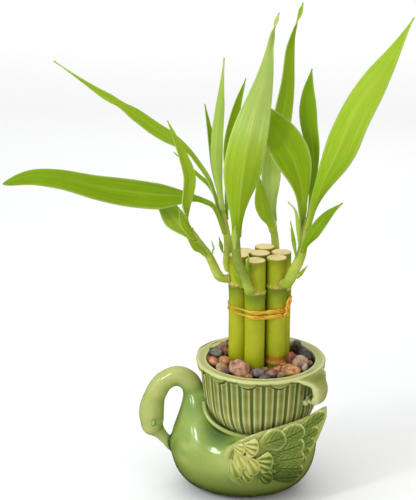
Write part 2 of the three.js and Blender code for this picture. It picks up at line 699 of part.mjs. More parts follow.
/*
  A leaf: it clasps the stem at share `at` of the stem's length, on the side at azimuth `side`, passes
  through the points of its path and ends at the last one. `face` is where the blade's upper side looks past
  the clasp. `twist` is how many degrees the blade turns about its own middle line, round `twistAt` of its
  length.
*/
const LEAVES = {
  shoot_left: [
    {
      at: 0.9,
      side: 200,
      path: [
        [-31, -13, 166],
        [-29.4, -13.6, 175],
        [-28.8, -13.8, 184],
        [-31.8, -13.6, 194],
        [-36, -13, 204],
        [-40, -12, 213],
      ],
      width: 7,
      face: [0.5, -1, 0.1],
      neck: 0.7,
    },
    {
      at: 0.62,
      side: 160,
      path: [[-37, 1, 154], [-43, 5, 162], [-52, 10, 170]],
      width: 13,
      face: [0.4, -0.8, 0.6],
      widest: 0.5,
    },
    { at: 0.76, side: 250, path: [[-32, -17, 161], [-34, -19, 168]], width: 4.6, face: [0.2, -1, 0.3] },
    { at: 0.5, side: 240, path: [[-26.5, -15, 147], [-30, -17, 152]], width: 4.4, face: [0, -1, 0.4] },
    { at: 0.45, side: 20, path: [[-15.8, -7.5, 142], [-17.2, -7.8, 146.5]], width: 2.4, face: [1, 0, 0.1] },
  ],
  shoot_left_back: [
    {
      at: 0.84,
      side: 170,
      path: [
        [-19, 7, 176],
        [-25, 6, 186],
        [-31, 4, 194],
        [-48, 0, 206],
        [-64, -4, 219],
        [-76, -6, 227],
        [-99, -8, 243],
      ],
      width: 7.8,
      face: [0.1, -0.8, 0.6],
      twist: -70,
      twistAt: 0.68,
      pinch: 0.4,
      petiole: 0.3,
      widest: 0.46,
      neck: 0.3,
    },
    {
      at: 0.76,
      side: 130,
      path: [[-18, 14, 170], [-26, 17, 177], [-39, 19, 189]],
      width: 3,
      face: [0, -1, 0.4],
    },
    {
      at: 0.6,
      side: 235,
      path: [
        [-17, 3.5, 163],
        [-22, 3, 166],
        [-29, 1, 168.5],
        [-50, -3, 171],
        [-77, -8, 176],
        [-98, -12, 181.5],
        [-113, -14, 182.5],
        [-127, -16, 179],
      ],
      width: 16.5,
      face: [0, -0.75, 0.65],
      petiole: 0.18,
      widest: 0.38,
      neck: 0.18,
      taper: 0.55,
    },
    {
      at: 0.93,
      side: 280,
      path: [[-15, 5, 185], [-15, 4, 199], [-13, 2, 221], [-11, 0, 244]],
      width: 7,
      face: [-0.3, -1, 0],
      taper: 1.3,
    },
    {
      at: 0.95,
      side: 92,
      path: [[-15.5, 13, 178], [-18, 15, 195], [-22, 18, 216]],
      width: 5,
      face: [0.3, -1, 0.2],
    },
    {
      at: 0.78,
      side: 40,
      path: [[-9, 14, 175], [-9, 17, 192], [-5, 21, 213], [0, 25, 229]],
      width: 6.6,
      face: [0.4, -1, 0],
      widest: 0.6,
    },
    { at: 0.3, side: 190, path: [[-12.6, 7.2, 139.5], [-13.6, 7, 144]], width: 2.4, face: [0, -1, 0] },
  ],
  shoot_front: [
    {
      at: 0.86,
      side: 300,
      path: [[-1.5, -23, 178], [1, -25, 198], [5, -25, 216], [10, -22, 236], [14, -16, 258], [17, -12, 269]],
      width: 21,
      face: [0.15, -1, 0.15],
      twist: 150,
      twistAt: 0.9,
      lastSwell: 0.13,
      petiole: 0.02,
      widest: 0.32,
      neck: 0.32,
      taper: 1.65,
    },
    { at: 0.72, side: 262, path: [[-4.5, -25.5, 157], [-4, -26, 161]], width: 3.4, face: [0, -1, 0.2] },
    { at: 0.34, side: 5, path: [[2.4, -21, 138.5], [3.1, -21, 142.5]], width: 2.6, face: [0.8, -1, 0] },
    { at: 0.16, side: 200, path: [[-2.9, -22.5, 129.5], [-4.9, -23, 134]], width: 2.6, face: [0, -1, 0.3] },
  ],
  shoot_back: [
    {
      at: 0.85,
      side: 100,
      path: [[13.5, 20.5, 177], [16, 20.5, 193], [19, 20, 206], [22, 20, 226], [24, 21, 250], [30, 22, 270]],
      width: 12.5,
      face: [0.5, -1, 0.1],
      twist: 110,
      twistAt: 0.88,
      pinch: 0.35,
      lastSwell: 0.2,
      petiole: 0.04,
      widest: 0.22,
      neck: 0.45,
      taper: 0.9,
    },
    { at: 0.7, side: 232, path: [[10, 11, 162], [7.5, 9, 179]], width: 8.5, face: [0.3, -1, 0], widest: 0.5 },
  ],
  shoot_right: [
    {
      at: 0.78,
      side: 165,
      path: [[30, -18, 177], [27, -18, 190], [20, -15, 204], [12, -10, 215], [6, -5, 223]],
      width: 20,
      face: [0.3, -1, -0.2],
      petiole: 0.2,
      widest: 0.6,
      neck: 0.32,
    },
    {
      at: 0.975,
      side: 58,
      path: [[36, -10, 180], [36, -7, 197], [33.5, -5, 212], [33, -4, 226], [34.5, -3, 239]],
      width: 9.4,
      face: [-0.2, -1, 0.1],
      widest: 0.7,
      neck: 0.3,
    },
    {
      at: 0.86,
      side: -35,
      path: [
        [40.5, -22, 182],
        [47, -24, 198],
        [55, -27, 219],
        [64.5, -28.5, 237],
        [73, -29, 251],
        [83, -29, 269],
      ],
      width: 19.5,
      face: [-0.5, -1, 0.4],
      petiole: 0.1,
      widest: 0.44,
      neck: 0.3,
    },
    { at: 0.56, side: -82, path: [[43, -25, 166], [51, -28, 174]], width: 7, face: [-0.3, -1, 0.5] },
    { at: 0.62, side: 225, path: [[27, -22, 168], [23, -23, 173]], width: 2.4, face: [0, -1, 0.3] },
    { at: 0.46, side: 215, path: [[25.6, -21, 156], [24.6, -21.6, 162]], width: 2.6, face: [0, -1, 0.2] },
    { at: 0.2, side: -25, path: [[31, -18.8, 133], [34, -19.3, 137]], width: 2.4, face: [0, -1, 0.4] },
  ],
};
const PLAIN_OUTLINE = { neck: 0.45, petiole: 0.06, widest: 0.42, taper: 1.1 };
// How far each half of a blade is folded up from flat, and how far round the stem its base may clasp.
const FOLD = radians(18);
const CLASP = radians(62);
const LEAST_HALF_WIDTH = 0.35;
const STATION_SPACING = 8.5;
const WIDE_LEAF = 8;
const ACROSS_WIDE = [-1, -0.5, 0, 0.5, 1];
const ACROSS_NARROW = [-1, 0, 1];

// The blade's middle line: up the stem for a little, then away through its own points.
function midribOf(leaf, stem) {
  const away = v3(Math.cos(radians(leaf.side)), Math.sin(radians(leaf.side)), 0);
  const stemLength = stem.curve.getLength();
  const clear = (t) => stem.half(Math.min(t, 0.96)) + GAP + BLADE_THICKNESS / 2;
  const first = stem.curve.getPointAt(leaf.at);
  const along = stem.curve.getTangentAt(leaf.at);
  const out = away.clone().addScaledVector(along, -away.dot(along)).normalize();
  const base = first.clone().addScaledVector(out, clear(leaf.at));
  const rise = Math.min(3, leaf.width * 0.5);
  const next = Math.min(1, leaf.at + rise / stemLength);
  const second = stem.curve
    .getPointAt(next)
    .addScaledVector(out, clear(leaf.at) + 0.5);
  const points = [base, second, ...leaf.path.map((p) => v3(...p))];
  return { curve: new THREE.CatmullRomCurve3(points, false, "centripetal"), out, hug: clear(leaf.at) };
}

function leafGeometry(leaf, stem) {
  const { curve, out, hug } = midribOf(leaf, stem);
  const length = curve.getLength();
  const steps = clamp(Math.round(length / STATION_SPACING), 4, 15);
  const { twist = 0, twistAt = 0.5 } = leaf;
  const outline = { ...PLAIN_OUTLINE, ...leaf };
  const inward = out.clone().negate();
  // Either side may be the one given, and the blade opens to the nearer, so it never folds through itself.
  const face = v3(...leaf.face).normalize();
  if (inward.dot(face) < 0) face.negate();
  const topRows = [];
  const lowRows = [];
  for (let i = 0; i <= steps; i++) {
    const t = i / steps;
    const centre = curve.getPointAt(t);
    const tangent = curve.getTangentAt(t);
    const opened = smoothstep(t * length, 1.5, 0.25 * length + 4);
    const up = inward.clone().lerp(face, opened);
    up.applyAxisAngle(tangent, radians(twist) * smoothstep(t, twistAt - 0.12, twistAt + 0.12));
    const across = tangent.clone().cross(up).normalize();
    up.copy(across).cross(tangent).normalize();
    const half = Math.max(LEAST_HALF_WIDTH, (leaf.width / 2) * bladeShare(t, outline));
    const wrap = Math.min(CLASP, half / hug);
    const bend = lerp(wrap, FOLD * (1 - 0.5 * t), opened);
    const edgeWave = 0.05 * leaf.width * Math.sin(t * Math.PI * 5) * opened;
    const places = leaf.width > WIDE_LEAF ? ACROSS_WIDE : ACROSS_NARROW;
    const rows = places.map((s) => {
      const arc = {
        along: (half * Math.sin(s * bend)) / bend,
        rise: (half * (1 - Math.cos(s * bend))) / bend,
      };
      const crease = { along: half * s * Math.cos(bend), rise: half * Math.abs(s) * Math.sin(bend) };
      const along = lerp(arc.along, crease.along, opened);
      const rise = lerp(arc.rise, crease.rise, opened) + edgeWave * s * Math.abs(s);
      return centre.clone().addScaledVector(across, along).addScaledVector(up, rise);
    });
    topRows.push(rows.map((p) => p.clone().addScaledVector(up, BLADE_THICKNESS / 2)));
    lowRows.push(rows.map((p) => p.clone().addScaledVector(up, -BLADE_THICKNESS / 2)));
  }
  return plateGeometry(topRows, lowRows);
}

// A closed thin plate from its upper and lower grids of points, split alike on both faces.
function plateGeometry(topRows, lowRows) {
  const columns = topRows[0].length;
  const points = [...topRows.flat(), ...lowRows.flat()];
  const under = topRows.length * columns;
  const faces = [];
  const quad = (a, b, c, d) => faces.push(a, b, c, a, c, d);
  for (let i = 0; i < topRows.length - 1; i++) {
    for (let j = 0; j < columns - 1; j++) {
      const a = i * columns + j;
      quad(a, a + 1, a + columns + 1, a + columns);
      faces.push(under + a, under + a + columns + 1, under + a + 1);
      faces.push(under + a, under + a + columns, under + a + columns + 1);
    }
    const left = i * columns;
    const right = left + columns - 1;
    quad(left, left + columns, under + left + columns, under + left);
    quad(right + columns, right, under + right, under + right + columns);
  }
  const last = (topRows.length - 1) * columns;
  for (let j = 0; j < columns - 1; j++) {
    quad(j + 1, j, under + j, under + j + 1);
    quad(last + j, last + j + 1, under + last + j + 1, under + last + j);
  }
  const geometry = new THREE.BufferGeometry();
  geometry.setAttribute("position", new THREE.Float32BufferAttribute(points.flatMap((p) => p.toArray()), 3));
  geometry.setIndex(faces);
  geometry.computeVertexNormals();
  return geometry;
}

function shoots() {
  for (const [name, shoot] of Object.entries(SHOOTS)) {
    const stem = stemOf(shoot);
    add(`${name}_stem`, tube(stem.curve, 11, STEM_SIDES, stem.half), "shoot");
    LEAVES[name].forEach((leaf, i) => {
      add(`${name}_leaf_${i + 1}`, leafGeometry(leaf, stem), "leaf");
    });
  }
}

pot();
pebbleBed();
stalks();
tie();
shoots();

export default part;
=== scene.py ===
# %% [markdown]
# # Lucky bamboo in a glazed swan planter
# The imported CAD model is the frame: it fixes every place and size. This lesson dresses it, piece by piece.
# Sizes are written in millimetres, as a maker would measure them, and each finished mesh is scaled to metres.

# %% Load the frame
import math
from random import Random

import bmesh
import bpy
import numpy as np
from mathutils import Matrix, Vector, noise


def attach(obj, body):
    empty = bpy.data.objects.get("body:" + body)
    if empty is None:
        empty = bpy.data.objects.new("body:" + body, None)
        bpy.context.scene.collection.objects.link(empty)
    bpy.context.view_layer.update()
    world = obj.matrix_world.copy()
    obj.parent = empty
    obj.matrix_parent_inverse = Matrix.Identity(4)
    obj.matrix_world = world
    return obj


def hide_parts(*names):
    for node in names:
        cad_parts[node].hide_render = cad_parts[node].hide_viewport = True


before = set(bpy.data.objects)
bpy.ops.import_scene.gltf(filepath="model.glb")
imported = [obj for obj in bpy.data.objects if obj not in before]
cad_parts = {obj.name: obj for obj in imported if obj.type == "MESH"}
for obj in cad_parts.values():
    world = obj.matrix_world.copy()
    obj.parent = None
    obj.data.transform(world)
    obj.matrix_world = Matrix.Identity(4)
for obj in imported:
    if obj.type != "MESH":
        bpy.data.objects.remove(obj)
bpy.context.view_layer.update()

# %% [markdown]
# ## Small helpers
# Most pieces here are a sheet that follows a curve: a blade, a stem, a ribbon, a feather. So one helper makes
# a flat grid and moves its points, another gives the curve, and a third makes a finished piece of the result.

# %% Blend values
MM = 0.001


def mix(a, b, share):
    return a + (b - a) * share


def smooth_between(value, low, high):
    share = min(1.0, max(0.0, (value - low) / (high - low)))
    return share * share * (3 - 2 * share)


def hump(away, reach):
    """1 at a place, a third of it at the reach, and next to nothing at twice the reach."""
    return math.exp(-((away / reach) ** 2))


def sizes_along(pairs):
    """A size at each share of a length, eased between the given (share, size) pairs."""

    def size_at(share):
        for (s0, a), (s1, b) in zip(pairs, pairs[1:]):
            if share <= s1:
                return mix(a, b, smooth_between(share, s0, s1))
        return pairs[-1][1]

    return size_at


# %% A smooth line through points
STEPS_BETWEEN_POINTS = 24
HEADING_STEP = 0.004


class Route:
    """A centripetal Catmull-Rom line, as in the CAD source, read by share of its length."""

    def __init__(self, points):
        given = [Vector(p) for p in points]
        given = [2 * given[0] - given[1], *given, 2 * given[-1] - given[-2]]
        line = []
        for a, b, c, d in zip(given, given[1:], given[2:], given[3:]):
            ab, bc, cd = (b - a).length ** 0.5, (c - b).length ** 0.5, (d - c).length ** 0.5
            leaving = ((b - a) / ab - (c - a) / (ab + bc) + (c - b) / bc) * bc
            arriving = ((c - b) / bc - (d - b) / (bc + cd) + (d - c) / cd) * bc
            for k in range(STEPS_BETWEEN_POINTS):
                t = k / STEPS_BETWEEN_POINTS
                square = 3 * (c - b) - 2 * leaving - arriving
                cube = 2 * (b - c) + leaving + arriving
                line.append(b + leaving * t + square * t * t + cube * t**3)
        line.append(given[-2])
        self.line = np.array([tuple(p) for p in line])
        steps = np.linalg.norm(np.diff(self.line, axis=0), axis=1)
        self.reached = np.concatenate([[0.0], np.cumsum(steps)])
        self.length = float(self.reached[-1])

    def at(self, share):
        where = min(1.0, max(0.0, share)) * self.length
        return Vector([float(np.interp(where, self.reached, self.line[:, axis])) for axis in range(3)])

    def heading(self, share):
        ahead = self.at(min(1.0, share + HEADING_STEP))
        behind = self.at(max(0.0, share - HEADING_STEP))
        return (ahead - behind).normalized()


def level_way(angle):
    """The level direction at an angle from the x axis."""
    return Vector((math.cos(angle), math.sin(angle), 0))


# %% A grid moved to its place
WELD_DISTANCE = 0.0005


def mapped_grid(columns, rows, place, closed=False):
    """A flat grid whose point at (u, v), from 0 to 1, is moved to place(u, v). Its UV map keeps u and v."""
    bm = bmesh.new()
    bmesh.ops.create_grid(bm, x_segments=columns, y_segments=rows, size=0.5)
    uv_layer = bm.loops.layers.uv.new("UVMap")
    for face in bm.faces:
        for loop in face.loops:
            loop[uv_layer].uv = (loop.vert.co.x + 0.5, loop.vert.co.y + 0.5)
    for vert in bm.verts:
        vert.co = place(vert.co.x + 0.5, vert.co.y + 0.5)
    if closed:
        bmesh.ops.remove_doubles(bm, verts=bm.verts, dist=WELD_DISTANCE)
    return bm


def cap_ends(bm):
    """Closes every open edge loop and turns all faces outwards."""
    open_edges = [edge for edge in bm.edges if edge.is_boundary]
    bmesh.ops.holes_fill(bm, edges=open_edges, sides=0)
    bmesh.ops.recalc_face_normals(bm, faces=bm.faces)
    return bm


def round_tube(route, steps, sides, deep, wide=None):
    """A closed tube along a route: its half size is deep(share) square to y, and wide(share) along y."""
    wide = wide or deep

    def place(u, v):
        heading = route.heading(u)
        in_plane = Vector((0, 1, 0)).cross(heading).normalized()
        sideways = heading.cross(in_plane)
        angle = v * 2 * math.pi
        offset = in_plane * math.cos(angle) * deep(u) + sideways * math.sin(angle) * wide(u)
        return route.at(u) + offset

    return cap_ends(mapped_grid(steps, sides, place, closed=True))


# %% Join and place forms
def joined(parts):
    """All of the given forms in one bmesh. The forms themselves are used up."""
    whole = bmesh.new()
    whole.loops.layers.uv.new("UVMap")
    for part in parts:
        mesh = bpy.data.meshes.new("part")
        part.to_mesh(mesh)
        part.free()
        whole.from_mesh(mesh)
        bpy.data.meshes.remove(mesh)
    return whole


def set_down(bm, place, turn=None):
    """Turns a form about the origin, where a turn is given, and moves it to its place."""
    if turn is not None:
        bmesh.ops.rotate(bm, cent=(0, 0, 0), matrix=turn, verts=bm.verts)
    bmesh.ops.translate(bm, vec=place, verts=bm.verts)
    return bm


# %% Balls and spun forms
def ball(subdivisions, half_sizes=(1, 1, 1)):
    bm = bmesh.new()
    bmesh.ops.create_icosphere(bm, subdivisions=subdivisions, radius=1)
    bmesh.ops.scale(bm, vec=half_sizes, verts=bm.verts)
    return bm


def spun(outline, steps):
    """An outline of (radius, height) points, spun round the upright axis."""
    bm = bmesh.new()
    points = [bm.verts.new((r, 0, z)) for r, z in outline]
    edges = [bm.edges.new(pair) for pair in zip(points, points[1:])]
    whole_turn = dict(cent=(0, 0, 0), axis=(0, 0, 1), angle=2 * math.pi, steps=steps, use_merge=True)
    bmesh.ops.spin(bm, geom=[*points, *edges], **whole_turn)
    bmesh.ops.remove_doubles(bm, verts=bm.verts, dist=2 * WELD_DISTANCE)
    bmesh.ops.recalc_face_normals(bm, faces=bm.faces)
    return bm


# %% Finish a piece
def finished(name, bm, material, slot, *nodes):
    """A piece that rides on the object, with its material, and stands for its CAD nodes. Its slot is not
    used.
    """
    bmesh.ops.scale(bm, vec=(MM, MM, MM), verts=bm.verts)
    for face in bm.faces:
        face.smooth = True
    mesh = bpy.data.meshes.new(name)
    bm.to_mesh(mesh)
    bm.free()
    piece = bpy.data.objects.new(name, mesh)
    bpy.context.scene.collection.objects.link(piece)
    mesh.materials.append(material)
    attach(piece, "root")
    if nodes:
        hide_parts(*nodes)
    print(name, len(mesh.polygons), "faces")
    return piece


def store_values(piece, name, values):
    """Stores a value for every point of a piece, for its material to read."""
    piece.data.attributes.new(name, "FLOAT", "POINT").data.foreach_set("value", values)


def paint(piece, name, value_at):
    """Stores value_at(point in millimetres) on every point of a piece."""
    store_values(piece, name, [value_at(vert.co / MM) for vert in piece.data.vertices])


def give_wall(piece, thickness, offset=0):
    """Gives a sheet its thickness: half of it to each side, or with an offset of -1 all of it behind."""
    wall = piece.modifiers.new("thickness", "SOLIDIFY")
    wall.thickness = thickness * MM
    wall.offset = offset


# %% [markdown]
# ## Camera, floor and light
# The photograph looks a little down on the plant from its front, with a long lens. The camera stands where
# the cup's rim shows the same ellipse. A soft light on the left gives the glaze its window-like highlights.

# %% Camera
CAMERA_PLACE = (10, -680, 353)
CAMERA_DOWN = 17.45
CAMERA_LEFT = 2.48
FRAME_HEIGHT_PX = 500
FOCAL_PX = 1311
SENSOR_MM = 36

camera_data = bpy.data.cameras.new("camera")
camera_data.sensor_fit = "VERTICAL"
camera_data.sensor_height = SENSOR_MM
camera_data.lens = SENSOR_MM * FOCAL_PX / FRAME_HEIGHT_PX
camera = bpy.data.objects.new("camera", camera_data)
camera.location = Vector(CAMERA_PLACE) * MM
camera.rotation_euler = (math.radians(90 - CAMERA_DOWN), 0, math.radians(CAMERA_LEFT))
bpy.context.scene.collection.objects.link(camera)
bpy.context.scene.camera = camera
bpy.context.scene.view_settings.view_transform = "Standard"


# %% Start of a material
def start_material(name, roughness, **uniform):
    """A material, its nodes and its shader, with what is the same all over set on the shader's sockets."""
    material = bpy.data.materials.new(name)
    material.use_nodes = True
    shader = material.node_tree.nodes["Principled BSDF"]
    shader.inputs["Roughness"].default_value = roughness
    for key, value in uniform.items():
        shader.inputs[key.replace("_", " ")].default_value = value
    return material, material.node_tree, shader


# %% Floor and lights
LIGHT_AIM = Vector((0.01, 0, 0.11))
FLOOR_HALF = 4


def soft_light(name, place, size, power, tint=(1, 1, 1)):
    data = bpy.data.lights.new(name, "AREA")
    data.shape = "RECTANGLE"
    data.size, data.size_y = size
    data.energy = power
    data.color = tint
    light = bpy.data.objects.new(name, data)
    light.location = place
    light.rotation_euler = (LIGHT_AIM - Vector(place)).to_track_quat("-Z", "Y").to_euler()
    bpy.context.scene.collection.objects.link(light)
    return light


floor_mesh = bpy.data.meshes.new("floor")
floor_bm = bmesh.new()
bmesh.ops.create_grid(floor_bm, x_segments=4, y_segments=4, size=FLOOR_HALF)
floor_bm.to_mesh(floor_mesh)
floor_bm.free()
floor = bpy.data.objects.new("floor", floor_mesh)
floor_material, _, _ = start_material("pale floor", 0.6, Base_Color=(0.9, 0.9, 0.9, 1))
floor_mesh.materials.append(floor_material)
bpy.context.scene.collection.objects.link(floor)
floor.visible_glossy = False

soft_light("window_left", (-0.55, -0.5, 0.62), (0.12, 0.36), 2.4)
soft_light("window_right", (0.65, -0.45, 0.45), (0.2, 0.5), 0.5)
soft_light("sky", (-0.1, -0.05, 0.9), (0.9, 0.9), 1.7)
soft_light("left_fill", (-0.8, -0.45, 0.3), (0.5, 0.5), 0.7)
soft_light("front_fill", (-0.1, -0.9, 0.2), (0.6, 0.3), 0.32)
soft_light("back", (0.1, 0.8, 0.5), (0.9, 0.6), 0.6)
soft_light("blue_window", (-0.82, -0.3, 0.54), (0.1, 0.16), 0.8, (0.35, 0.85, 1.0))
far_light = soft_light("far_floor", (0, 2.3, 1.6), (3.0, 2.0), 30)
far_light.rotation_euler = (0, 0, 0)
far_light.visible_glossy = False
world = bpy.data.worlds.new("studio")
world.use_nodes = True
world.node_tree.nodes["Background"].inputs["Color"].default_value = (1, 1, 1, 1)
world.node_tree.nodes["Background"].inputs["Strength"].default_value = 0.7
world.cycles_visibility.glossy = False
bpy.context.scene.world = world

# %% [markdown]
# ## Node helpers and shared effects
# Three effects serve more than one finish, so each is a node group, built once. "mottling" drifts slowly
# between two colours, as glaze, bark and stone all do. "growth lines" are the fine lengthwise streaks of cane
# and leaf. The third gives all that is glazed and fired its iron specks and ripple, and a painted shade that
# darkens its foot.


# %% Small node helpers
def colour(hex_code):
    """A screen colour such as 8FA860 as the linear values that shaders use."""
    channels = [int(hex_code[i : i + 2], 16) / 255 for i in (0, 2, 4)]
    return (*[c / 12.92 if c <= 0.04045 else ((c + 0.055) / 1.055) ** 2.4 for c in channels], 1)


def feed(tree, socket, given):
    """Types a value into a socket, or links the socket that gives it."""
    if isinstance(given, bpy.types.NodeSocket):
        tree.links.new(given, socket)
    else:
        socket.default_value = given


def new_node(tree, kind, **given):
    made = tree.nodes.new(kind)
    for key, value in given.items():
        feed(tree, made.inputs[key.replace("_", " ")], value)
    return made


def maths(tree, operation, *given):
    made = tree.nodes.new("ShaderNodeMath")
    made.operation = operation
    for socket, value in zip(made.inputs, given):
        feed(tree, socket, value)
    return made.outputs[0]


def blend_colours(tree, factor, first, second, mode="MIX"):
    made = tree.nodes.new("ShaderNodeMix")
    made.data_type = "RGBA"
    made.blend_type = mode
    # A mix node keeps its two colours in its sockets 6 and 7, and its mixed colour in 2.
    for place, given in ((0, factor), (6, first), (7, second)):
        feed(tree, made.inputs[place], given)
    return made.outputs[2]


def ramp(tree, factor, stops):
    """Turns a value into a colour, by stops that are each a place and a screen colour."""
    made = new_node(tree, "ShaderNodeValToRGB", Fac=factor)
    elements = made.color_ramp.elements
    while len(elements) < len(stops):
        elements.new(0.5)
    for element, (place, tone) in zip(elements, stops):
        element.position = place
        element.color = colour(tone)
    return made.outputs["Color"]


# %% Values that a material reads
def attribute(tree, name, output="Fac"):
    made = tree.nodes.new("ShaderNodeAttribute")
    made.attribute_name = name
    return made.outputs[output]


def object_coordinates(tree, stretch=(1, 1, 1)):
    """Object coordinates, with each axis stretched, so that a pattern can run along a piece."""
    source = tree.nodes.new("ShaderNodeTexCoord").outputs["Object"]
    return new_node(tree, "ShaderNodeMapping", Vector=source, Scale=stretch).outputs["Vector"]


def uv_coordinates(tree, stretch):
    """The place along and across a piece, with each stretched."""
    source = tree.nodes.new("ShaderNodeUVMap")
    source.uv_map = "UVMap"
    return new_node(tree, "ShaderNodeMapping", Vector=source.outputs["UV"], Scale=stretch).outputs["Vector"]


def noise_on(tree, vector, scale, detail=3.0, roughness=0.5, distortion=0.0):
    """Soft noise. On object coordinates, the scale is how many of its lumps go to a metre."""
    given = dict(Vector=vector, Scale=scale, Detail=detail, Roughness=roughness, Distortion=distortion)
    return new_node(tree, "ShaderNodeTexNoise", **given).outputs["Fac"]


def spread(tree, value, low, high, curve="LINEAR"):
    """Stretches what lies between low and high over 0 to 1."""
    made = new_node(tree, "ShaderNodeMapRange", Value=value, From_Min=low, From_Max=high)
    made.interpolation_type = curve
    return made.outputs["Result"]


# %% Make and place a node group
def new_group(name, inputs, outputs):
    """An empty node group, and the sockets at its two ends. Each socket is given as a name and a kind."""
    tree = bpy.data.node_groups.new(name, "ShaderNodeTree")
    for in_out, sockets in (("INPUT", inputs), ("OUTPUT", outputs)):
        for socket_name, kind in sockets.items():
            tree.interface.new_socket(socket_name, in_out=in_out, socket_type="NodeSocket" + kind)
    return tree, tree.nodes.new("NodeGroupInput").outputs, tree.nodes.new("NodeGroupOutput").inputs


def place_group(tree, group, **given):
    made = tree.nodes.new("ShaderNodeGroup")
    made.node_tree = group
    for key, value in given.items():
        feed(tree, made.inputs[key], value)
    return made.outputs


# %% The mottling group
def mottling_group():
    inputs = {"Vector": "Vector", "Light": "Color", "Dark": "Color", "Scale": "Float"}
    tree, given, results = new_group("mottling", inputs, {"Color": "Color"})
    cloud = noise_on(tree, given["Vector"], given["Scale"], detail=4.0, roughness=0.55, distortion=0.4)
    mask = spread(tree, cloud, 0.35, 0.65)
    feed(tree, results["Color"], blend_colours(tree, mask, given["Dark"], given["Light"]))
    return tree


MOTTLING = mottling_group()


def mottled(tree, vector, light, dark, scale):
    made = place_group(tree, MOTTLING, Vector=vector, Light=light, Dark=dark, Scale=scale)
    return made["Color"]


# %% The growth line group
FINER_STREAKS = 3.1


def growth_line_group():
    inputs = {"Vector": "Vector", "Fineness": "Float"}
    tree, given, results = new_group("growth lines", inputs, {"Lines": "Float"})
    finer = maths(tree, "MULTIPLY", given["Fineness"], FINER_STREAKS)
    coarse = noise_on(tree, given["Vector"], given["Fineness"], detail=2.0, roughness=0.6)
    fine = noise_on(tree, given["Vector"], finer, roughness=0.7)
    both = maths(tree, "ADD", coarse, fine)
    feed(tree, results["Lines"], maths(tree, "MULTIPLY", both, 0.5))
    return tree


GROWTH_LINES = growth_line_group()


def growth_lines(tree, vector, fineness):
    return place_group(tree, GROWTH_LINES, Vector=vector, Fineness=fineness)["Lines"]


# %% The specks and painted foot shade group
FOOT_SHADE_Z = (0.002, 0.03)
SPECK_SHARE = 0.3


def specks_and_foot_shade_group():
    inputs = {"Vector": "Vector", "Glaze": "Color"}
    tree, given, results = new_group("kiln specks and painted foot shade", inputs, {"Color": "Color", "Ripple": "Float"})
    here = given["Vector"]
    specks = spread(tree, noise_on(tree, here, 900.0, detail=2.0), 0.66, 0.74)
    faint = maths(tree, "MULTIPLY", specks, SPECK_SHARE)
    speckled = blend_colours(tree, faint, given["Glaze"], colour("4C5E24"))
    # Painted shade: the glaze is darkened towards the floor, for the shade that falls low on the swan.
    height = new_node(tree, "ShaderNodeSeparateXYZ", Vector=here).outputs["Z"]
    risen = spread(tree, height, *FOOT_SHADE_Z, "SMOOTHSTEP")
    foot = blend_colours(tree, risen, colour("8A8E72"), (1, 1, 1, 1))
    feed(tree, results["Color"], blend_colours(tree, 1.0, speckled, foot, "MULTIPLY"))
    feed(tree, results["Ripple"], noise_on(tree, here, 160.0, detail=1.0))
    return tree


SPECKS_AND_FOOT_SHADE = specks_and_foot_shade_group()


def specked_and_foot_shaded(tree, vector, glaze):
    made = place_group(tree, SPECKS_AND_FOOT_SHADE, Vector=vector, Glaze=glaze)
    return made["Color"], made["Ripple"]


# %% Layers and end of a material
def layered(tree, base, layers):
    """Lays colours over a base one, each as far as the value of its name on the piece says."""
    for name, tone in layers:
        base = blend_colours(tree, attribute(tree, name), base, tone)
    return base


def end_material(tree, shader, base, height, distance, strength):
    """Gives the shader its colour, and a bump by height. The distance is its height in metres."""
    bump = new_node(tree, "ShaderNodeBump", Height=height, Distance=distance, Strength=strength)
    feed(tree, shader.inputs["Base Color"], base)
    feed(tree, shader.inputs["Normal"], bump.outputs["Normal"])


# %% [markdown]
# ## Celadon glaze
# The swan is fired with one glossy green glaze. It runs thin and pale over ridges and pools dark in hollows,
# so each glazed piece carries a "recess" value: how deep a point lies below its smoothed surroundings.

# %% Measure recesses
RECESS_ROUNDS = 14


def averaging(a, b, count):
    """A function that gives the mean place of every point's neighbours. Each edge runs from a to b."""
    neighbours = np.maximum(np.bincount(a, minlength=count) + np.bincount(b, minlength=count), 1)

    def averaged(places):
        means = np.empty_like(places)
        for axis in range(3):
            total = np.bincount(a, weights=places[b, axis], minlength=count)
            total += np.bincount(b, weights=places[a, axis], minlength=count)
            means[:, axis] = total / neighbours
        return means

    return averaged


def paint_recess(piece, rounds, pooling_and_painted_shade):
    """Extra depth in mm, if given: glaze that gathers, and at some places painted shade. Below 0 it is paler.
    """
    mesh = piece.data
    places = np.empty(len(mesh.vertices) * 3)
    normals = np.empty(len(mesh.vertices) * 3)
    ends = np.empty(len(mesh.edges) * 2, dtype=np.int64)
    mesh.vertices.foreach_get("co", places)
    mesh.vertices.foreach_get("normal", normals)
    mesh.edges.foreach_get("vertices", ends)
    places = places.reshape(-1, 3)
    averaged = averaging(*ends.reshape(-1, 2).T, len(places))
    soft = places
    for _ in range(rounds):
        soft = averaged(soft)
    depth = ((soft - places) * normals.reshape(-1, 3)).sum(axis=1) / MM
    if pooling_and_painted_shade:
        depth += np.array([pooling_and_painted_shade(place) for place in places / MM])
    store_values(piece, "recess", depth)
    print(piece.name, "recess from", round(float(depth.min()), 2), "to", round(float(depth.max()), 2), "mm")


def glazed(name, bm, material, rounds=RECESS_ROUNDS, pooling_and_painted_shade=None):
    """A finished piece of the planter, with its recesses measured."""
    piece = finished(name, bm, material, "glaze", "swan_planter")
    paint_recess(piece, rounds, pooling_and_painted_shade)
    return piece


# %% Glaze material
TONE_PLACES = (0.0, 0.32, 0.5, 0.66, 0.9)


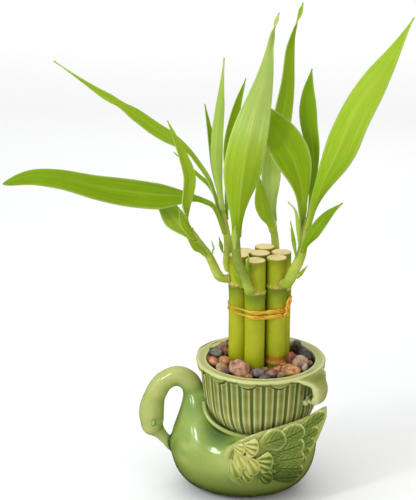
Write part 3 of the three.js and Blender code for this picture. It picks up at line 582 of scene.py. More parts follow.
def glaze_material(name, warm, cool, depth):
    """A glaze from two rows of tones, ridge to hollow. Depth is the recess, in mm, that has the last tone."""
    material, tree, shader = start_material(name, 0.18, Coat_Weight=0.3, Coat_Roughness=0.05)
    here = object_coordinates(tree)
    pooled = spread(tree, attribute(tree, "recess"), -depth, depth)
    rows = [ramp(tree, pooled, list(zip(TONE_PLACES, row))) for row in (warm, cool)]
    # Iron specks and ripple, and the painted shade at the foot.
    fired, ripple = specked_and_foot_shaded(tree, here, mottled(tree, here, *rows, 42.0))
    end_material(tree, shader, fired, ripple, 0.0002, 0.3)
    return material


GLAZE = glaze_material(
    "celadon glaze",
    ("B9BA6E", "A4AF56", "8FA045", "6A8433", "3C5522"),
    ("AFBC74", "96AC5C", "7E9A4C", "587B38", "33502A"),
    0.22,
)
CUP_GLAZE = glaze_material(
    "celadon glaze on the cup",
    ("D0CE88", "98944C", "767438", "6A7838", "5A6E36"),
    ("C6CE8C", "909650", "6E763A", "627238", "506836"),
    0.24,
)
# Palest tone brighter than the body's: thin glaze on ridges, and painted light for the front shells'
# highlights.
WING_GLAZE_WITH_LIGHT = glaze_material(
    "celadon glaze on the feathers with painted light",
    ("E4DC96", "BAB85E", "808C3C", "5C6E2C", "36481C"),
    ("D8D690", "ACB45C", "76883C", "526A2C", "304420"),
    0.3,
)

# %% [markdown]
# ## The swan's body, neck and wings
# The real swan is slip cast: its parts were modelled in clay, joined and wiped, so every join has a small
# fillet. A voxel remesh over separate smooth forms does the same, and a few smoothing passes wipe the joins.

# %% Skin over several forms
def skinned(name, parts, voxel, passes):
    """One skin round all of the closed forms, with its joins smoothed."""
    rough = bpy.data.meshes.new(name + "_rough")
    whole = joined(parts)
    whole.to_mesh(rough)
    whole.free()
    holder = bpy.data.objects.new(name + "_rough", rough)
    bpy.context.scene.collection.objects.link(holder)
    remesh = holder.modifiers.new("skin", "REMESH")
    remesh.mode = "VOXEL"
    remesh.voxel_size = voxel
    shaped = holder.evaluated_get(bpy.context.evaluated_depsgraph_get())
    mesh = bpy.data.meshes.new_from_object(shaped)
    bm = bmesh.new()
    bm.from_mesh(mesh)
    bpy.data.objects.remove(holder)
    bpy.data.meshes.remove(rough)
    bpy.data.meshes.remove(mesh)
    every_way = dict(use_axis_x=True, use_axis_y=True, use_axis_z=True)
    for _ in range(passes):
        bmesh.ops.smooth_vert(bm, verts=bm.verts, factor=0.5, **every_way)
    return bm


# %% Soften a join
RUB_STRENGTH = 0.8


def soften(bm, centre, radius, rounds):
    """Rubs the clay smooth round a point, most at the middle and not at all past the radius."""
    bm.verts.index_update()
    places = np.array([tuple(vert.co) for vert in bm.verts])
    a, b = np.array([[vert.index for vert in edge.verts] for edge in bm.edges]).T
    averaged = averaging(a, b, len(places))
    away = np.linalg.norm(places - np.array(centre), axis=1)
    share = np.clip(1 - away / radius, 0, 1)
    weight = (share * share * (3 - 2 * share))[:, None]
    for _ in range(rounds):
        places += weight * (averaged(places) - places) * RUB_STRENGTH
    for vert, place in zip(bm.verts, places):
        vert.co = place


# %% Body
BODY_LEVELS = [
    (0, -22.5, 23.5, 18),
    (1.5, -27.5, 28.5, 22),
    (5, -33, 34, 27),
    (11, -37.5, 38.5, 32),
    (18, -40, 41, 34.5),
    (25, -41, 42, 35.5),
    (31, -39.4, 42.5, 35),
    (35, -35, 41.8, 33.4),
    (38, -29, 40, 30.6),
    (40, -23, 37, 27),
    (41, -17, 34, 23.5),
]
CHEST_LEVELS = [
    (16, -34, 24, 24),
    (24, -39.4, 22, 30.4),
    (31, -39.8, 14, 31),
    (36, -38.2, 6, 28),
    (40, -36.8, -2, 24.4),
    (43, -35.9, -8, 21),
    (46, -35, -12, 17.4),
    (50, -33.9, -15, 13),
    (54, -33.0, -17, 9.4),
    (58, -32.6, -20, 6.4),
]
LEVEL_SQUARENESS = 2.05
# The rings crowd towards the top, where the form closes in.
RING_CROWDING = 1.4


def curve_through(pairs):
    """Reads the size at a place, from a smooth line through pairs of a place and a size."""
    line = Route([(place, size, 0) for place, size in pairs]).line
    return lambda place: float(np.interp(place, line[:, 0], line[:, 1]))


def levels_form(levels):
    """An egg-like form, lofted through level rings: height, foremost x, rearmost x, half width."""
    front, rear, side = (curve_through([(level[0], level[k]) for level in levels]) for k in (1, 2, 3))

    def squared(value):
        return math.copysign(abs(value) ** (2 / LEVEL_SQUARENESS), value)

    def place(u, v):
        z = mix(levels[0][0], levels[-1][0], 1 - (1 - u) ** RING_CROWDING)
        angle = v * 2 * math.pi
        x = (front(z) + rear(z)) / 2 + (rear(z) - front(z)) / 2 * squared(math.cos(angle))
        return Vector((x, side(z) * squared(math.sin(angle)), z))

    return cap_ends(mapped_grid(56, 120, place, closed=True))


# %% Neck, head, beak and eyes
NECK_PATH = [
    (-24, 0, 22),
    (-28, 0, 36),
    (-27.6, 0, 48),
    (-27.4, 0, 56),
    (-30.2, 0, 61.8),
    (-36.5, 0, 64.8),
    (-44, 0, 61.5),
    (-48.5, 0, 55),
    (-51, 0, 47),
    (-51.5, 0, 40),
    (-50, 0, 33),
]
NECK_HALF = [
    (0, 10),
    (0.17, 8.4),
    (0.29, 7.0),
    (0.42, 6.0),
    (0.6, 5.5),
    (0.75, 6),
    (0.88, 7.1),
    (0.95, 6.8),
    (1, 4.6),
]
BEAK_PATH = [(-50, 0, 33), (-46, 0, 28.6), (-42.6, 0, 24), (-40.2, 0, 18.6)]
BEAK_DEEP = [(0, 4.6), (0.4, 3.2), (0.75, 2.5), (1, 1.2)]
BEAK_WIDE = [(0, 5), (0.4, 3.2), (0.75, 2.4), (1, 1.2)]
BROW_HALF = (6.4, 6.6, 7.8)
BROW_PLACE = (-51.4, 0, 36.2)
EYE_PLACE = (-49.8, 6.7, 38.9)


def neck_forms():
    neck = round_tube(Route(NECK_PATH), 90, 48, sizes_along(NECK_HALF))
    beak = round_tube(Route(BEAK_PATH), 24, 32, sizes_along(BEAK_DEEP), sizes_along(BEAK_WIDE))
    return [neck, beak, set_down(ball(4, BROW_HALF), BROW_PLACE)]


# %% Wing plates
WING_REACH = 36.5
WING_CURL = 0.0084
WING_CURL_X = 6
WING_HALF_THICKNESS = 2.2
PLATE_SINK = 1.2
WING_PLATE = [
    (-8, 30, 7),
    (0, 31, 11.5),
    (10, 32.5, 14.5),
    (21, 35, 15),
    (34, 39.5, 13.5),
    (42, 47, 9),
    (46.5, 53.5, 3.5),
]


def wing_reach(x):
    """How far the wing's outer face stands from the swan's middle plane."""
    return WING_REACH - WING_CURL * (x - WING_CURL_X) ** 2


def wing_plate(side):
    middle = curve_through([(x, z) for x, z, _ in WING_PLATE])
    half = curve_through([(x, h) for x, _, h in WING_PLATE])

    def place(u, v):
        x = mix(WING_PLATE[0][0], WING_PLATE[-1][0], u)
        angle = v * 2 * math.pi
        y = wing_reach(x) - PLATE_SINK - WING_HALF_THICKNESS + WING_HALF_THICKNESS * math.cos(angle)
        return Vector((x, side * y, middle(x) + half(x) * math.sin(angle)))

    return cap_ends(mapped_grid(40, 40, place, closed=True))


WING_FRONT = [(4, 41.2), (-2, 39.4), (-6.4, 35.8), (-7.6, 30.6), (-7, 26), (-4.4, 19.6), (0, 15)]
WING_FRONT_HALF = 1.9
WING_FRONT_SINK = 0.5
WING_FRONT_SIZES = [(0, 0.6), (0.3, WING_FRONT_HALF), (0.8, WING_FRONT_HALF), (1, 0.5)]


def wing_front(side):
    """The round front edge of a wing, that rises out of the body's side."""
    route = Route([(x, side * (wing_reach(x) - WING_FRONT_HALF - WING_FRONT_SINK), z) for x, z in WING_FRONT])
    return round_tube(route, 60, 20, sizes_along(WING_FRONT_SIZES))


# %% Fuse and finish the swan
BODY_VOXEL = 0.6
BODY_WIPES = 6
# Where forms meet and the clay was rubbed smooth: a point, how far from it, and how often.
RUBBED = [
    ((-25, 0, 50), 20, 60),
    ((-13, -23, 40), 15, 260),
    ((-13, 23, 40), 15, 260),
    ((-22, -29, 27), 14, 120),
    ((-22, 29, 27), 14, 120),
    ((-37, -12, 30), 13, 150),
    ((-37, 12, 30), 13, 150),
]
# Painted shade on the body, as extra glaze depth: beside the cup's foot, under each wing's tail,
# on the chest and at the neck's foot. Behind each wing's front edge it is painted paler, as painted light.
SHADE_AND_LIGHT_SPOTS = [
    ((-12, 20, 41), 12, 0.17),
    ((34, 32, 22), 12, 0.12),
    ((-38, 8, 26), 10, 0.1),
    ((-24, 8, 52), 9, 0.12),
    ((-4, 35, 30), 7, -0.2),
]
ALL_OVER = -0.02
body_forms = [levels_form(BODY_LEVELS), levels_form(CHEST_LEVELS), *neck_forms()]
body_forms += [wing_form(side) for side in (-1, 1) for wing_form in (wing_plate, wing_front)]
swan_skin = skinned("swan", body_forms, BODY_VOXEL, BODY_WIPES)
for rubbed_place, reach, rounds in RUBBED:
    soften(swan_skin, rubbed_place, reach, rounds)


def painted_body_shade(place):
    """Painted shade and light on the body, as extra glaze depth in mm. Both sides of it are alike."""
    x, y, z = place
    painted_depth = ALL_OVER
    for middle, reach, depth in SHADE_AND_LIGHT_SPOTS:
        painted_depth += depth * hump(math.dist((x, abs(y), z), middle), reach)
    return painted_depth


glazed("swan_body", swan_skin, GLAZE, pooling_and_painted_shade=painted_body_shade)

# %% [markdown]
# ## The fluted cup
# The cup on the swan's back is turned, then fluted: flat ribs with narrow grooves, under a lip whose lower
# edge hangs in scallops. Its radius is known at each height and angle, so one mapped grid makes all of it.

# %% Cup sizes
CUP_X = 10
RIM_Z = 77
MOUTH_R = 30
CAVITY_FLOOR_Z = 37
FLUTES = 32
FLUTE_DEPTH = 0.8
FLUTE_TURN = 3.2
GROOVE_HALF = 0.23
SCALLOPS = 12
SCALLOP_DROP = 2.1
SCALLOP_TURN = 144
SCALLOP_LIFT = 0.3
SCALLOP_POWER = 0.8
CRESCENT_DEPTH = 1.0
# Below the rim, radius, share of the scallops' drop, share of the flutes, share of the crescents' depth.
CUP_OUTLINE = [
    (42, 17.5, 0, 0, 0),
    (40, 21.2, 0, 0.8, 0),
    (38, 23.4, 0, 1, 0),
    (35.5, 25.8, 0, 1, 0),
    (32, 28.3, 0, 1, 0),
    (26, 30.9, 0, 1, 0),
    (18, 32.3, 0, 1, 0),
    (10, 33.1, 0, 1, 0),
    (5.2, 33.6, 0.7, 1, 0),
    (4.1, 33.8, 1, 0.9, 0.1),
    (3.7, 33.8, 1, 0.6, 0.9),
    (3.2, 33.8, 1, 0.2, 1),
    (2.8, 34.2, 1, 0, 0.6),
    (2.4, 35.1, 1, 0, 0),
    (1.9, 35.6, 0.9, 0, 0),
    (1.3, 35.9, 0.5, 0, 0),
    (0.6, 36.0, 0.1, 0, 0),
    (0.1, 35.5, 0, 0, 0),
    (0, 34.6, 0, 0, 0),
    (0.25, 33.2, 0, 0, 0),
    (0.3, 31.8, 0, 0, 0),
    (0.1, 31.0, 0, 0, 0),
    (0.4, 30.4, 0, 0, 0),
    (1.6, 30, 0, 0, 0),
    (8, 29.3, 0, 0, 0),
    (18, 28, 0, 0, 0),
    (30, 25.6, 0, 0, 0),
    (36, 22, 0, 0, 0),
    (40, 17, 0, 0, 0),
]
# Where the wall ends and the lip begins, and where the lip ends, as rows of the outline.
LIP_ROWS = (8, 23)
ROWS_SHARE = (0.36, 0.88)


def groove_at(angle):
    """1 in the middle of a groove and 0 on the flat of a rib."""
    share = ((angle - math.radians(FLUTE_TURN)) / (2 * math.pi) * FLUTES) % 1
    return 1 - smooth_between(min(share, 1 - share), 0.0, GROOVE_HALF)


def scallop_at(angle):
    """1 in the middle of a scallop and 0 between two."""
    wave = math.cos(angle * SCALLOPS + math.radians(SCALLOP_TURN))
    return max(0.0, (wave + SCALLOP_LIFT) / (1 + SCALLOP_LIFT)) ** SCALLOP_POWER


def cup_form():
    """The whole wall in one grid, from under the swan's back up over the lip and down to the cup's floor."""
    outline = Route([(row[0], row[1], 0) for row in CUP_OUTLINE])
    reached = [
        outline.reached[min(i * STEPS_BETWEEN_POINTS, len(outline.reached) - 1)] / outline.length
        for i in range(len(CUP_OUTLINE))
    ]
    drops, fluted, crescents = ([row[k] for row in CUP_OUTLINE] for k in (2, 3, 4))
    # The lip takes half of the rows, because its small forms need them.
    shares = [0, reached[LIP_ROWS[0]], reached[LIP_ROWS[1]], 1]

    def place(u, v):
        u = float(np.interp(u, [0, *ROWS_SHARE, 1], shares))
        angle = v * 2 * math.pi
        below, radius, _ = outline.at(u)
        scallop = scallop_at(angle)
        radius -= FLUTE_DEPTH * groove_at(angle) * float(np.interp(u, reached, fluted))
        radius -= CRESCENT_DEPTH * scallop * float(np.interp(u, reached, crescents))
        below += SCALLOP_DROP * scallop * float(np.interp(u, reached, drops))
        return Vector((CUP_X + radius * math.cos(angle), radius * math.sin(angle), RIM_Z - below))

    return cap_ends(mapped_grid(160, 576, place, closed=True))


# %% Double ring at the cup's foot
INNER_RING_R = 24.2
INNER_RING_Z = 39.6
INNER_RING_THICK = 0.8
OUTER_RING_THICK = 1.1
OUTER_RING_PATH = [
    (-21.4, -9, 53),
    (-20.4, -13, 49.6),
    (-17.4, -17.2, 45.8),
    (-11.1, -21.4, 42.6),
    (-1.9, -24.8, 40.4),
    (9, -26.8, 39.6),
    (20, -25.6, 40),
    (30, -20, 41),
]


def cord_form(route, steps, thick):
    """A round cord laid level, so its section is turned about the vertical."""

    def place(u, v):
        heading = route.heading(u)
        outward = heading.cross(Vector((0, 0, 1))).normalized()
        upward = outward.cross(heading)
        angle = v * 2 * math.pi
        return route.at(u) + (outward * math.cos(angle) + upward * math.sin(angle)) * thick

    return cap_ends(mapped_grid(steps, 16, place, closed=True))


def ring_forms():
    """A closed ring close round the foot, and a ridge on each side that climbs along the neck."""
    middle = Vector((CUP_X, 0, INNER_RING_Z))
    circle = [middle + level_way(math.radians(15 * i)) * INNER_RING_R for i in range(25)]
    forms = [cord_form(Route(circle), 160, INNER_RING_THICK)]
    for side in (1, -1):
        path = [(x, -side * y, z) for x, y, z in OUTER_RING_PATH]
        forms.append(cord_form(Route(path), 90, OUTER_RING_THICK))
    return forms


# %% Scroll handles
HANDLE_AZIMUTHS = (-38, 142)
HANDLE_PATH = [
    (31, 0, 75.6),
    (35.5, 0, 75.1),
    (40, 0, 71.5),
    (41, 0, 66),
    (38.4, 0, 61.6),
    (34.6, 0, 61.6),
    (33.4, 0, 63.6),
]
HANDLE_BALL_PLACE = (33.2, -2.6, 59.8)
HANDLE_BALL_R = 1.9
HANDLE_HALF_WIDTH = [(0, 16), (0.2, 11), (0.4, 6.2), (0.65, 5), (0.85, 3.6), (1, 2.4)]
HANDLE_HALF_THICKNESS = [(0, 1.2), (0.25, 1.9), (0.5, 3.0), (0.65, 3.0), (0.85, 1.9), (1, 1.2)]
HANDLE_VOXEL = 0.5
HANDLE_WIPES = 4
RIBS_POOL = 0.06
RIBS_POOL_Z = 50
LIP_RUN_OFF_AND_LIGHT = 0.19


def handle_form(azimuth):
    half_sizes = sizes_along(HANDLE_HALF_THICKNESS), sizes_along(HANDLE_HALF_WIDTH)
    scroll = round_tube(Route(HANDLE_PATH), 48, 40, *half_sizes)
    end = set_down(ball(3, [HANDLE_BALL_R] * 3), HANDLE_BALL_PLACE)
    return set_down(joined([scroll, end]), (CUP_X, 0, 0), Matrix.Rotation(math.radians(azimuth), 3, "Z"))


def cup_pooling_and_light(place):
    """The glaze runs off the lip and gathers low on the ribs. The lip is made paler still by painted light.
    """
    low_down = smooth_between(RIBS_POOL_Z - place[2], 0, 12)
    on_lip = smooth_between(place[2], RIM_Z - 2.2, RIM_Z - 0.6)
    return RIBS_POOL * low_down - LIP_RUN_OFF_AND_LIGHT * on_lip


glazed("fluted_cup", cup_form(), CUP_GLAZE, pooling_and_painted_shade=cup_pooling_and_light)
glazed("cup_foot_rings", joined(ring_forms()), GLAZE, rounds=4)
handle_forms = [handle_form(azimuth) for azimuth in HANDLE_AZIMUTHS]
handle_skin = skinned("handles", handle_forms, HANDLE_VOXEL, HANDLE_WIPES)
glazed("scroll_handles", handle_skin, CUP_GLAZE)

# %% [markdown]
# ## Feathers
# Each wing carries rows of pressed feathers: long smooth ones behind, and short leaf-like ones with fine
# barbs in front. A feather is a domed grid on the wing, with its edge sunk in, so that it casts a line.

# %% Feather places
# Each feather's root and tip on the wing, as (x, z), its width, and how far it stands on those below it.
FEATHERS = [
    ((27.2, 43.5), (45.4, 54.6), 6.5, 0.0),
    ((27.6, 38.9), (42.0, 46.0), 6.5, 0.1),
    ((28.0, 34.8), (39.6, 40.2), 6.5, 0.2),
    ((27.8, 31.0), (37.4, 34.6), 6.5, 0.3),
    ((26.0, 27.6), (35.7, 29.2), 6.5, 0.4),
    ((23.4, 22.3), (34.0, 23.3), 6.5, 0.5),
    ((15.1, 20.5), (31.7, 19.8), 7.0, 0.5),
    ((17.4, 26.3), (33.6, 24.4), 8.0, 0.6),
    ((17.4, 30.4), (34.5, 31.6), 9.0, 0.8),
    ((15.7, 34.6), (34.3, 39.6), 9.5, 1.0),
    ((17.2, 40.9), (34.2, 48.2), 10.5, 1.2),
    ((9.0, 40.2), (24.1, 45.6), 12.0, 1.6),
    ((9.2, 24.3), (16.6, 18.6), 8.0, 1.3),
    ((7.8, 31.2), (17.4, 29.0), 11.5, 1.8),
    ((-0.5, 26.3), (5.2, 19.0), 7.5, 1.6),
    ((1.0, 40.6), (9.4, 37.7), 10.5, 2.2),
    ((2.2, 34.6), (8.4, 23.8), 8.0, 2.2),
    ((-4.5, 39.6), (2.0, 36.4), 7.0, 1.9),
    ((-2.9, 36.6), (1.7, 26.9), 7.2, 2.3),
    ((-5.8, 31.6), (-1.5, 20.9), 7.2, 2.0),
]
FEATHER_SPREAD = 1.16
FEATHER_DOME = 1.9
FEATHER_SUNK = 0.9
FEATHER_TILT = 1.0
FEATHER_THICKNESS = 1.0
FEATHER_WELD = 0.004
BARB_DEPTH = 0.3
BARB_FAN = math.radians(20)
LONG_FEATHER = 12.5
VEIN_PITCH = 3.1
VEIN_SLANT = 1.3
VEIN_WANDER = 0.8
MIDRIB_HALF = 0.35
# The barbs fan out from this share of the length before the root.
FAN_BEHIND = 0.3
ROOT_SHARE = 0.3
FULL_WIDTH_AT = 0.58
DOME_LEVEL = 0.75
SHELL_GROOVE = 0.3
# Painted shade on the feathers, behind and low down, and painted light that makes them all paler.
SHADE_BEHIND = 0.17
SHADE_LOW = 0.12
FRONT_SHELL_LIGHT = 0.09


def barb_at(across, down, length):
    """0 on a barb and 1 in the line beside it: a fan on short feathers, slanting veins on the long ones."""
    if length < LONG_FEATHER:
        fan = math.atan2(across, down + FAN_BEHIND * length)
        return 0.5 + 0.5 * math.cos(fan * 2 * math.pi / BARB_FAN)
    wander = VEIN_WANDER * noise.noise(Vector((across, down, length)))
    slant = (down - VEIN_SLANT * abs(across) + wander) / VEIN_PITCH
    vein = (0.5 + 0.5 * math.cos(slant * 2 * math.pi)) ** 2
    faint = 0.32 + 0.3 * noise.noise(Vector((across * 0.5, down * 0.3, length + 5)))
    return faint * vein * smooth_between(abs(across), 0.15, 1.0) + 0.9 * hump(across, MIDRIB_HALF)


def feather_form(root, tip, width, rise, side):
    """A domed feather with a round tip, barbs and a raised rim. It lies on the wing's own surface."""
    along = Vector(tip) - Vector(root)
    length = along.length
    along.normalize()
    across = Vector((-along.y, along.x))

    def place(u, v):
        s = 2 * v - 1
        swell = mix(ROOT_SHARE, 1.0, smooth_between(u, 0, FULL_WIDTH_AT))
        round_from = 1 - min(0.5, 0.5 * width / length)
        past = max(0.0, (u - round_from) / (1 - round_from))
        half = width / 2 * swell * math.sqrt(max(0.0, 1 - past * past))
        reached = half / (width / 2)
        flat = Vector(root) + along * u * length + across * s * half
        rim = min((1 - abs(s)) * reached, (1 - u) * length / width * 2)
        inside = smooth_between(rim, 0.04, 0.3) * smooth_between(u, 0.12, 0.3)
        on_dome = math.sqrt(max(0.0, (1 - s * s) * (0.2 + 0.8 * reached)))
        lines = inside * (SHELL_GROOVE + barb_at(s * half, u * length, length))
        height = rise + FEATHER_DOME * (on_dome - DOME_LEVEL) + FEATHER_TILT * u - FEATHER_SUNK
        height -= BARB_DEPTH * lines
        return Vector((flat.x, side * (wing_reach(flat.x) + height), flat.y))

    return mapped_grid(40, 26, place)


def wing_feathers(side):
    forms = []
    for root, tip, width, rise in FEATHERS:
        forms.append(feather_form(root, tip, FEATHER_SPREAD * width, rise, side))
    whole = joined(forms)
    bmesh.ops.remove_doubles(whole, verts=whole.verts, dist=FEATHER_WELD)
    if side > 0:
        bmesh.ops.reverse_faces(whole, faces=whole.faces)
    return whole


def painted_wing_shade(place):
    """Painted shade behind and low down, where the wing lies in shade, and painted light on the front shells.
    """
    behind = smooth_between(place[0], 2, 20)
    low_down = smooth_between(30 - place[2], 0, 10)
    return SHADE_BEHIND * behind + SHADE_LOW * low_down - FRONT_SHELL_LIGHT


both_wings = joined([wing_feathers(-1), wing_feathers(1)])
feathers = glazed("wing_feathers", both_wings, WING_GLAZE_WITH_LIGHT, rounds=8, pooling_and_painted_shade=painted_wing_shade)
give_wall(feathers, FEATHER_THICKNESS, -1)

# %% [markdown]
# ## Eyes
# The eyes are small almond beads pressed on each side of the head, with a raised lid line round them.

# %% Eye beads
EYE_TURN = Matrix.Rotation(math.radians(-12), 3, "Y")
BEAD_HALF = (1.2, 0.9, 2.0)
LID_HALF = (1.7, 2.6)
LID_R = 0.4
LID_PROUD = 0.55
# Where the glaze lies darkest, as a share of the way from the bead's middle to its lid.
EYE_DARK_AT = 0.74
EYE_DARK = 0.3


def eye_forms(side):
    """An almond bead and the lid line round it."""

    def place(u, v):
        round_eye, round_cord = u * 2 * math.pi, v * 2 * math.pi
        reach = LID_R * math.cos(round_cord)
        x, z = (LID_HALF[0] + reach) * math.cos(round_eye), (LID_HALF[1] + reach) * math.sin(round_eye)
        return Vector((x, 0.3 + side * (LID_PROUD * math.sin(round_cord) - 0.1 * abs(x)), z))

    lid = mapped_grid(48, 12, place, closed=True)
    bmesh.ops.recalc_face_normals(lid, faces=lid.faces)
    middle = (EYE_PLACE[0], side * EYE_PLACE[1], EYE_PLACE[2])
    return [set_down(form, middle, EYE_TURN) for form in (ball(3, BEAD_HALF), lid)]


def eye_pooling(place):
    """The glaze gathers round the bead, inside its lid."""
    away = math.hypot((place[0] - EYE_PLACE[0]) / LID_HALF[0], (place[2] - EYE_PLACE[2]) / LID_HALF[1])
    return EYE_DARK * hump(away - EYE_DARK_AT, 0.12) - 0.04


glazed("swan_eyes", joined([*eye_forms(-1), *eye_forms(1)]), GLAZE, rounds=2, pooling_and_painted_shade=eye_pooling)

# %% [markdown]
# ## Cane
# Cut lucky bamboo is a smooth green cane. Under each node the skin is dark green and fades downwards to
# yellow-green; the node itself is a thin scaly tan collar; the cut top is pale with a brown rim.

# %% Cane material
def cane_material():
    light = dict(Subsurface_Weight=0.06, Subsurface_Radius=(0.004, 0.006, 0.002), Subsurface_Scale=0.3)
    material, tree, shader = start_material("cane skin", 0.32, Specular_IOR_Level=0.35, **light)
    here = object_coordinates(tree)
    lines = growth_lines(tree, object_coordinates(tree, (1, 1, 0.05)), 900.0)
    skin = mottled(tree, here, colour("BEBA12"), colour("98A40C"), 55.0)
    streaked = blend_colours(tree, maths(tree, "MULTIPLY", lines, 0.35), skin, colour("8BA336"))
    collar = ramp(tree, noise_on(tree, here, 700.0), [(0.35, "A9853C"), (0.62, "DCC272")])
    fibres = noise_on(tree, here, 1500.0, detail=2.0)
    cut = ramp(tree, fibres, [(0.3, "DDB36C"), (0.5, "F2DC9C"), (0.75, "FBF0C4")])
    marks = [("under_node", colour("56700C")), ("collar", collar), ("scar", colour("B86A20")), ("cut", cut)]
    end_material(tree, shader, layered(tree, streaked, marks), lines, 0.0002, 0.3)
    return material


CANE = cane_material()

# %% Cane sizes
BUNCH_X = 9
STALK_R = 5.7
STALK_PITCH = 12
STALK_FOOT_Z = 39
CUT_Z = 138
FIRST_STALK_AZIMUTH = -102
GAP = 0.3
azimuths = [math.radians(FIRST_STALK_AZIMUTH + 60 * i) for i in range(6)]
stalk_places = [Vector((BUNCH_X, 0, 0))]
stalk_places += [
    Vector((BUNCH_X + STALK_PITCH * math.cos(a), STALK_PITCH * math.sin(a), 0)) for a in azimuths
]
# Each stalk's name, how much lower than CUT_Z it is cut, and the heights of its nodes.
STALKS = [
    ("stalk_middle", 0, [114]),
    ("stalk_front", 0.5, [120]),
    ("stalk_right_front", 0, [122.5, 79]),
    ("stalk_right_back", 0.5, [117]),
    ("stalk_back", 0, [120]),
    ("stalk_left_back", 1.5, [123]),
    ("stalk_left_front", 0, [122]),
]
LEVEL_SPACING = 0.7
SKIN_INSET = 0.15
# What a node does to the skin: how far above it, how far along the cane, and how much the skin stands out. It
# has a thin collar, a slight flare under it and a dip over it.
NODE_FORMS = [(0, 0.55, 0.42), (-2, 2.6, 0.2), (1.8, 1.1, -0.18)]
# The cut end: how far in from its edge and how far below its top, then the same with the share of its radius.
CUT_EDGE = [(0, 0.45), (0.12, 0.12), (0.45, 0), (0.9, 0.12)]
CUT_FACE = [(0.7, 0.2), (0.35, 0.1), (0, 0.15)]
UNEVEN = 0.025


def cane_radius(z, nodes):
    radius = STALK_R - SKIN_INSET
    for node_z in nodes:
        for above, reach, proud in NODE_FORMS:
            radius += proud * hump(z - node_z - above, reach)
    return radius


def cane_form(top, nodes, seed):
    """The cane's outline, spun round its own axis, then made a little uneven."""
    outline = [(0, STALK_FOOT_Z)]
    for i in range(int((top - STALK_FOOT_Z) / LEVEL_SPACING)):
        z = STALK_FOOT_Z + i * LEVEL_SPACING
        outline.append((cane_radius(z, nodes), z))
    edge = cane_radius(top, nodes)
    outline += [(edge - inset, top - below) for inset, below in CUT_EDGE]
    outline += [(edge * share, top - below) for share, below in CUT_FACE]
    bm = spun(outline, 48)
    for vert in bm.verts:
        spot = Vector((vert.co.x * 0.25, vert.co.y * 0.25, vert.co.z * 0.05 + seed * 9))
        push = 1 + UNEVEN * noise.noise(spot)
        vert.co.x *= push
        vert.co.y *= push
    return bm


# %% Finish the canes
SCAR_STALK = "stalk_right_front"
# The tan band on that stalk fades in over the first two heights and out over the last two.
SCAR_BAND_Z = (78.5, 80, 81.5, 84)
FADE_DOWN = 7
UNDER_NODE_DARK = 0.95
UNDER_CUT_DARK = 0.55
UNDER_CUT = 9
COLLAR_REACH = 0.75


def finish_cane(name, low, nodes, place, seed):
    top = CUT_Z - low
    bm = set_down(cane_form(top, nodes, seed), place)
    piece = finished("cane_" + name, bm, CANE, "stalk", name)

    def from_axis(point):
        return math.hypot(point.x - place.x, point.y - place.y)

    def under_node(point):
        """Darkest right under a node, and a little dark again towards the cut."""
        wavy = 1.6 * noise.noise(point * 0.22)
        above = [math.exp(-max(0.0, n - point.z + wavy) / FADE_DOWN) for n in nodes if point.z < n]
        if above:
            return UNDER_NODE_DARK * max(above)
        return UNDER_CUT_DARK * smooth_between(point.z + wavy, top - UNDER_CUT, top)

    def collar(point):
        return max(hump(point.z - n, COLLAR_REACH) for n in nodes)

    def cut(point):
        inside = smooth_between(from_axis(point), STALK_R - 0.1, STALK_R - 0.9)
        return inside if point.z > top - 0.4 else 0.0

    def scar(point):
        rim = 0.7 * hump(from_axis(point) - STALK_R + 0.45, 0.3) if point.z > top - 0.5 else 0.0
        if name != SCAR_STALK:
            return rim
        begins = smooth_between(point.z + 2.2 * noise.noise(point * 0.5), *SCAR_BAND_Z[:2])
        ends = smooth_between(point.z + 1.5 * noise.noise(point * 0.9), SCAR_BAND_Z[3], SCAR_BAND_Z[2])
        return max(rim, 0.9 * begins * ends)

    marks = {"under_node": under_node, "collar": collar, "cut": cut, "scar": scar}
    for mark, value_at in marks.items():
        paint(piece, mark, value_at)


for seed, (stalk, place) in enumerate(zip(STALKS, stalk_places)):
    finish_cane(*stalk, place, seed)

# %% [markdown]
# ## Pebbles
# Mixed river pebbles fill the cup: orange, pink, tan, brick, grey. Each is a ball pushed out of round by
# noise. A seeded rule drops them round the canes, and each carries its own colour for one stone material.

# %% Stone material
def stone_material():
    material, tree, shader = start_material("river pebble", 0.55)
    here = object_coordinates(tree)
    tint = attribute(tree, "stone_colour", "Color")
    darker = blend_colours(tree, 1.0, tint, colour("9A8F88"), "MULTIPLY")
    veined = mottled(tree, here, tint, darker, 330.0)
    specks = spread(tree, noise_on(tree, here, 2600.0, detail=2.0), 0.62, 0.7)
    specked = blend_colours(tree, maths(tree, "MULTIPLY", specks, 0.5), veined, colour("E4D3BE"))
    end_material(tree, shader, specked, noise_on(tree, here, 900.0, detail=4.0), 0.0005, 0.5)
    return material


STONE = stone_material()

# %% Pebbles listed one by one, then placed by rule
STONE_COLOURS = ["B9805C", "A96F4C", "C39A72", "8B4B36", "77706A", "5B5652", "96705A", "B38E74", "6E5A4C"]
BED_TOP = RIM_Z - 2
